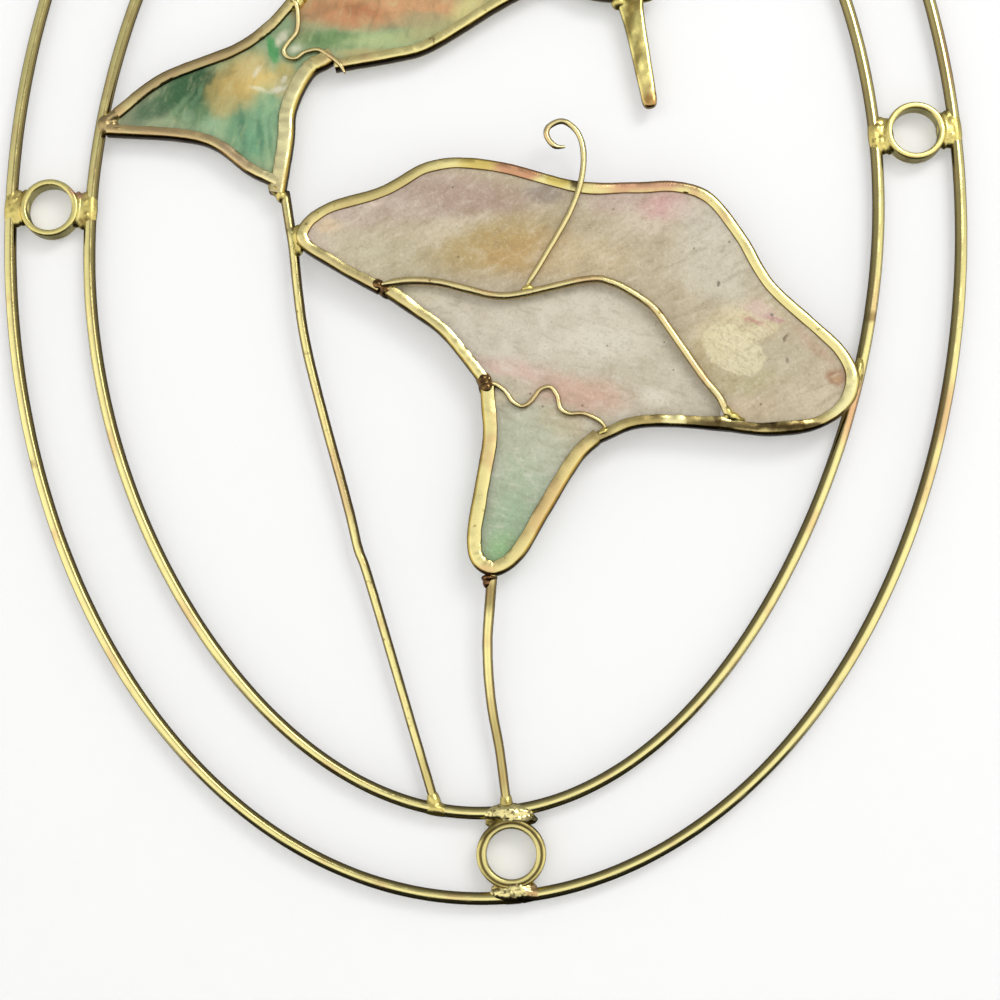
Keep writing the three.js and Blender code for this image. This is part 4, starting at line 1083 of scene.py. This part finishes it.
# The dyed shells
def build_shells():
    # Dyed oyster shell: satin and milky, rose and sand on the flower, green and rust on the bird
    petal = capiz("dyed_shell_petal", "#BCAD8F", PETAL_PATCHES, "#E0D6C0", "#8C7858", flakes=PETAL_FLAKES)
    lower = capiz("dyed_shell_lower", "#C4BAA3", LOWER_PATCHES, "#E4DECE", "#8F8268", -15.0)
    bird = capiz("dyed_shell_bird", "#8FA67C", BIRD_PATCHES, "#C9D09A", "#2F5434", 72.0, 0.22, 0.05, 1.6)
    wings = capiz("dyed_shell_wings", "#A9B98A", WING_PATCHES, "#DCD6B4", "#5C6A42", 60.0)
    shells = {"upper_petal": petal, "lower_petal_and_calyx": lower, "bird_body": bird,
              "rear_wing": wings, "fore_wing": wings}
    for name, material in shells.items():
        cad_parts[name].data.materials.clear()
        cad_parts[name].data.materials.append(material)


# Floor, board behind, light and camera
def plain_white(name, shade):
    material, tree, shader, coords = new_material(name)
    tone = mixed(tree, times(tree, grain(tree, coords, 60.0, 2.0), 0.1), linear(shade), linear("#F4F4F2"))
    tree.links.new(tone, shader.inputs["Base Color"])
    shader.inputs["Roughness"].default_value = 0.9
    return material, tree, shader


def build_stage():
    deselect_all()
    bpy.ops.mesh.primitive_plane_add(size=FLOOR_SIZE, location=(0, 0, FLOOR_Z))
    floor = bpy.context.object
    floor.name = "floor"
    floor.data.materials.append(plain_white("matt_white_floor", "#F0F0EE")[0])
    floor.visible_glossy = False
    bpy.ops.mesh.primitive_plane_add(
        size=BOARD_SIZE, location=BOARD_PLACE, rotation=(math.radians(90), 0, 0))
    board = bpy.context.object
    bpy.ops.object.transform_apply(location=True, rotation=True, scale=True)
    board.name = "board_behind"
    material, tree, shader = plain_white("matt_white_board", "#DFDFDF")
    shader.inputs["Emission Color"].default_value = linear("#FFFFFF")
    shader.inputs["Emission Strength"].default_value = BOARD_GLOW
    clear = node(tree, "ShaderNodeBsdfTransparent").outputs[0]
    behind = node(tree, "ShaderNodeNewGeometry").outputs["Backfacing"]
    either = node(tree, "ShaderNodeMixShader", {0: behind, 1: shader.outputs[0], 2: clear}).outputs[0]
    tree.links.new(either, tree.nodes["Material Output"].inputs["Surface"])
    board.data.materials.append(material)
    board.visible_glossy = False


def build_world():
    world = bpy.data.worlds.new("studio")
    bpy.context.scene.world = world
    world.use_nodes = True
    tree = world.node_tree
    ray = node(tree, "ShaderNodeTexCoord").outputs["Generated"]
    parts = node(tree, "ShaderNodeSeparateXYZ", {0: ray})
    rise = node(tree, "ShaderNodeMapRange", {
        "Value": parts.outputs[2], "From Min": -1.0, "From Max": 1.0}).outputs[0]
    height = node(tree, "ShaderNodeValToRGB", {0: rise}, stops=[
        (0.0, "#1E1E1E"), (0.2, "#2C2C2C"), (0.28, "#F0F0F0"), (0.5, "#FFFFFF"),
        (0.58, "#F2F2F2"), (0.68, "#A6A6A6"), (1.0, "#909090")]).outputs[0]
    front = span(tree, parts.outputs[1], 0.8, 0.3, 0.24, 1.0)
    dip = span(tree, parts.outputs[1], -0.985, -0.86, 0.86, 1.0)
    strength = times(tree, times(tree, front, dip), 1.2)
    studio = node(tree, "ShaderNodeBackground", {"Color": height, "Strength": strength}).outputs[0]
    plain = node(tree, "ShaderNodeBackground", {"Color": linear("#F6F6F6"), "Strength": 1.0}).outputs[0]
    seen = node(tree, "ShaderNodeLightPath").outputs["Is Camera Ray"]
    both = node(tree, "ShaderNodeMixShader", {0: seen, 1: studio, 2: plain}).outputs[0]
    tree.links.new(both, tree.nodes["World Output"].inputs["Surface"])


def add_lamp(name, spot, size, power):
    deselect_all()
    bpy.ops.object.light_add(type="AREA", location=spot)
    lamp = bpy.context.object
    lamp.name = name
    lamp.data.shape = "RECTANGLE"
    lamp.data.size = size[0]
    lamp.data.size_y = size[1]
    lamp.data.energy = power
    lamp.rotation_euler = (AIM - lamp.location).to_track_quat("-Z", "Y").to_euler()
    return lamp


def build_light():
    add_lamp("key_light", KEY_PLACE, KEY_SIZE, KEY_POWER)
    fill = add_lamp("fill_light", FILL_PLACE, FILL_SIZE, FILL_POWER)
    fill.visible_glossy = False


def build_camera():
    deselect_all()
    bpy.ops.object.camera_add(location=EYE, rotation=(AIM - EYE).to_track_quat("-Z", "Y").to_euler())
    camera = bpy.context.object
    camera.data.lens = LENS
    camera.data.sensor_width = SENSOR
    camera.data.clip_start = 0.01
    bpy.context.scene.camera = camera


bpy.context.scene.view_settings.view_transform = "Standard"
build_camera()
build_world()
build_light()
build_stage()
build_ovals()
gold_solder = build_rings()
build_strips()
build_beak()
build_wires()
build_stems()
build_solder(gold_solder)
build_shells()
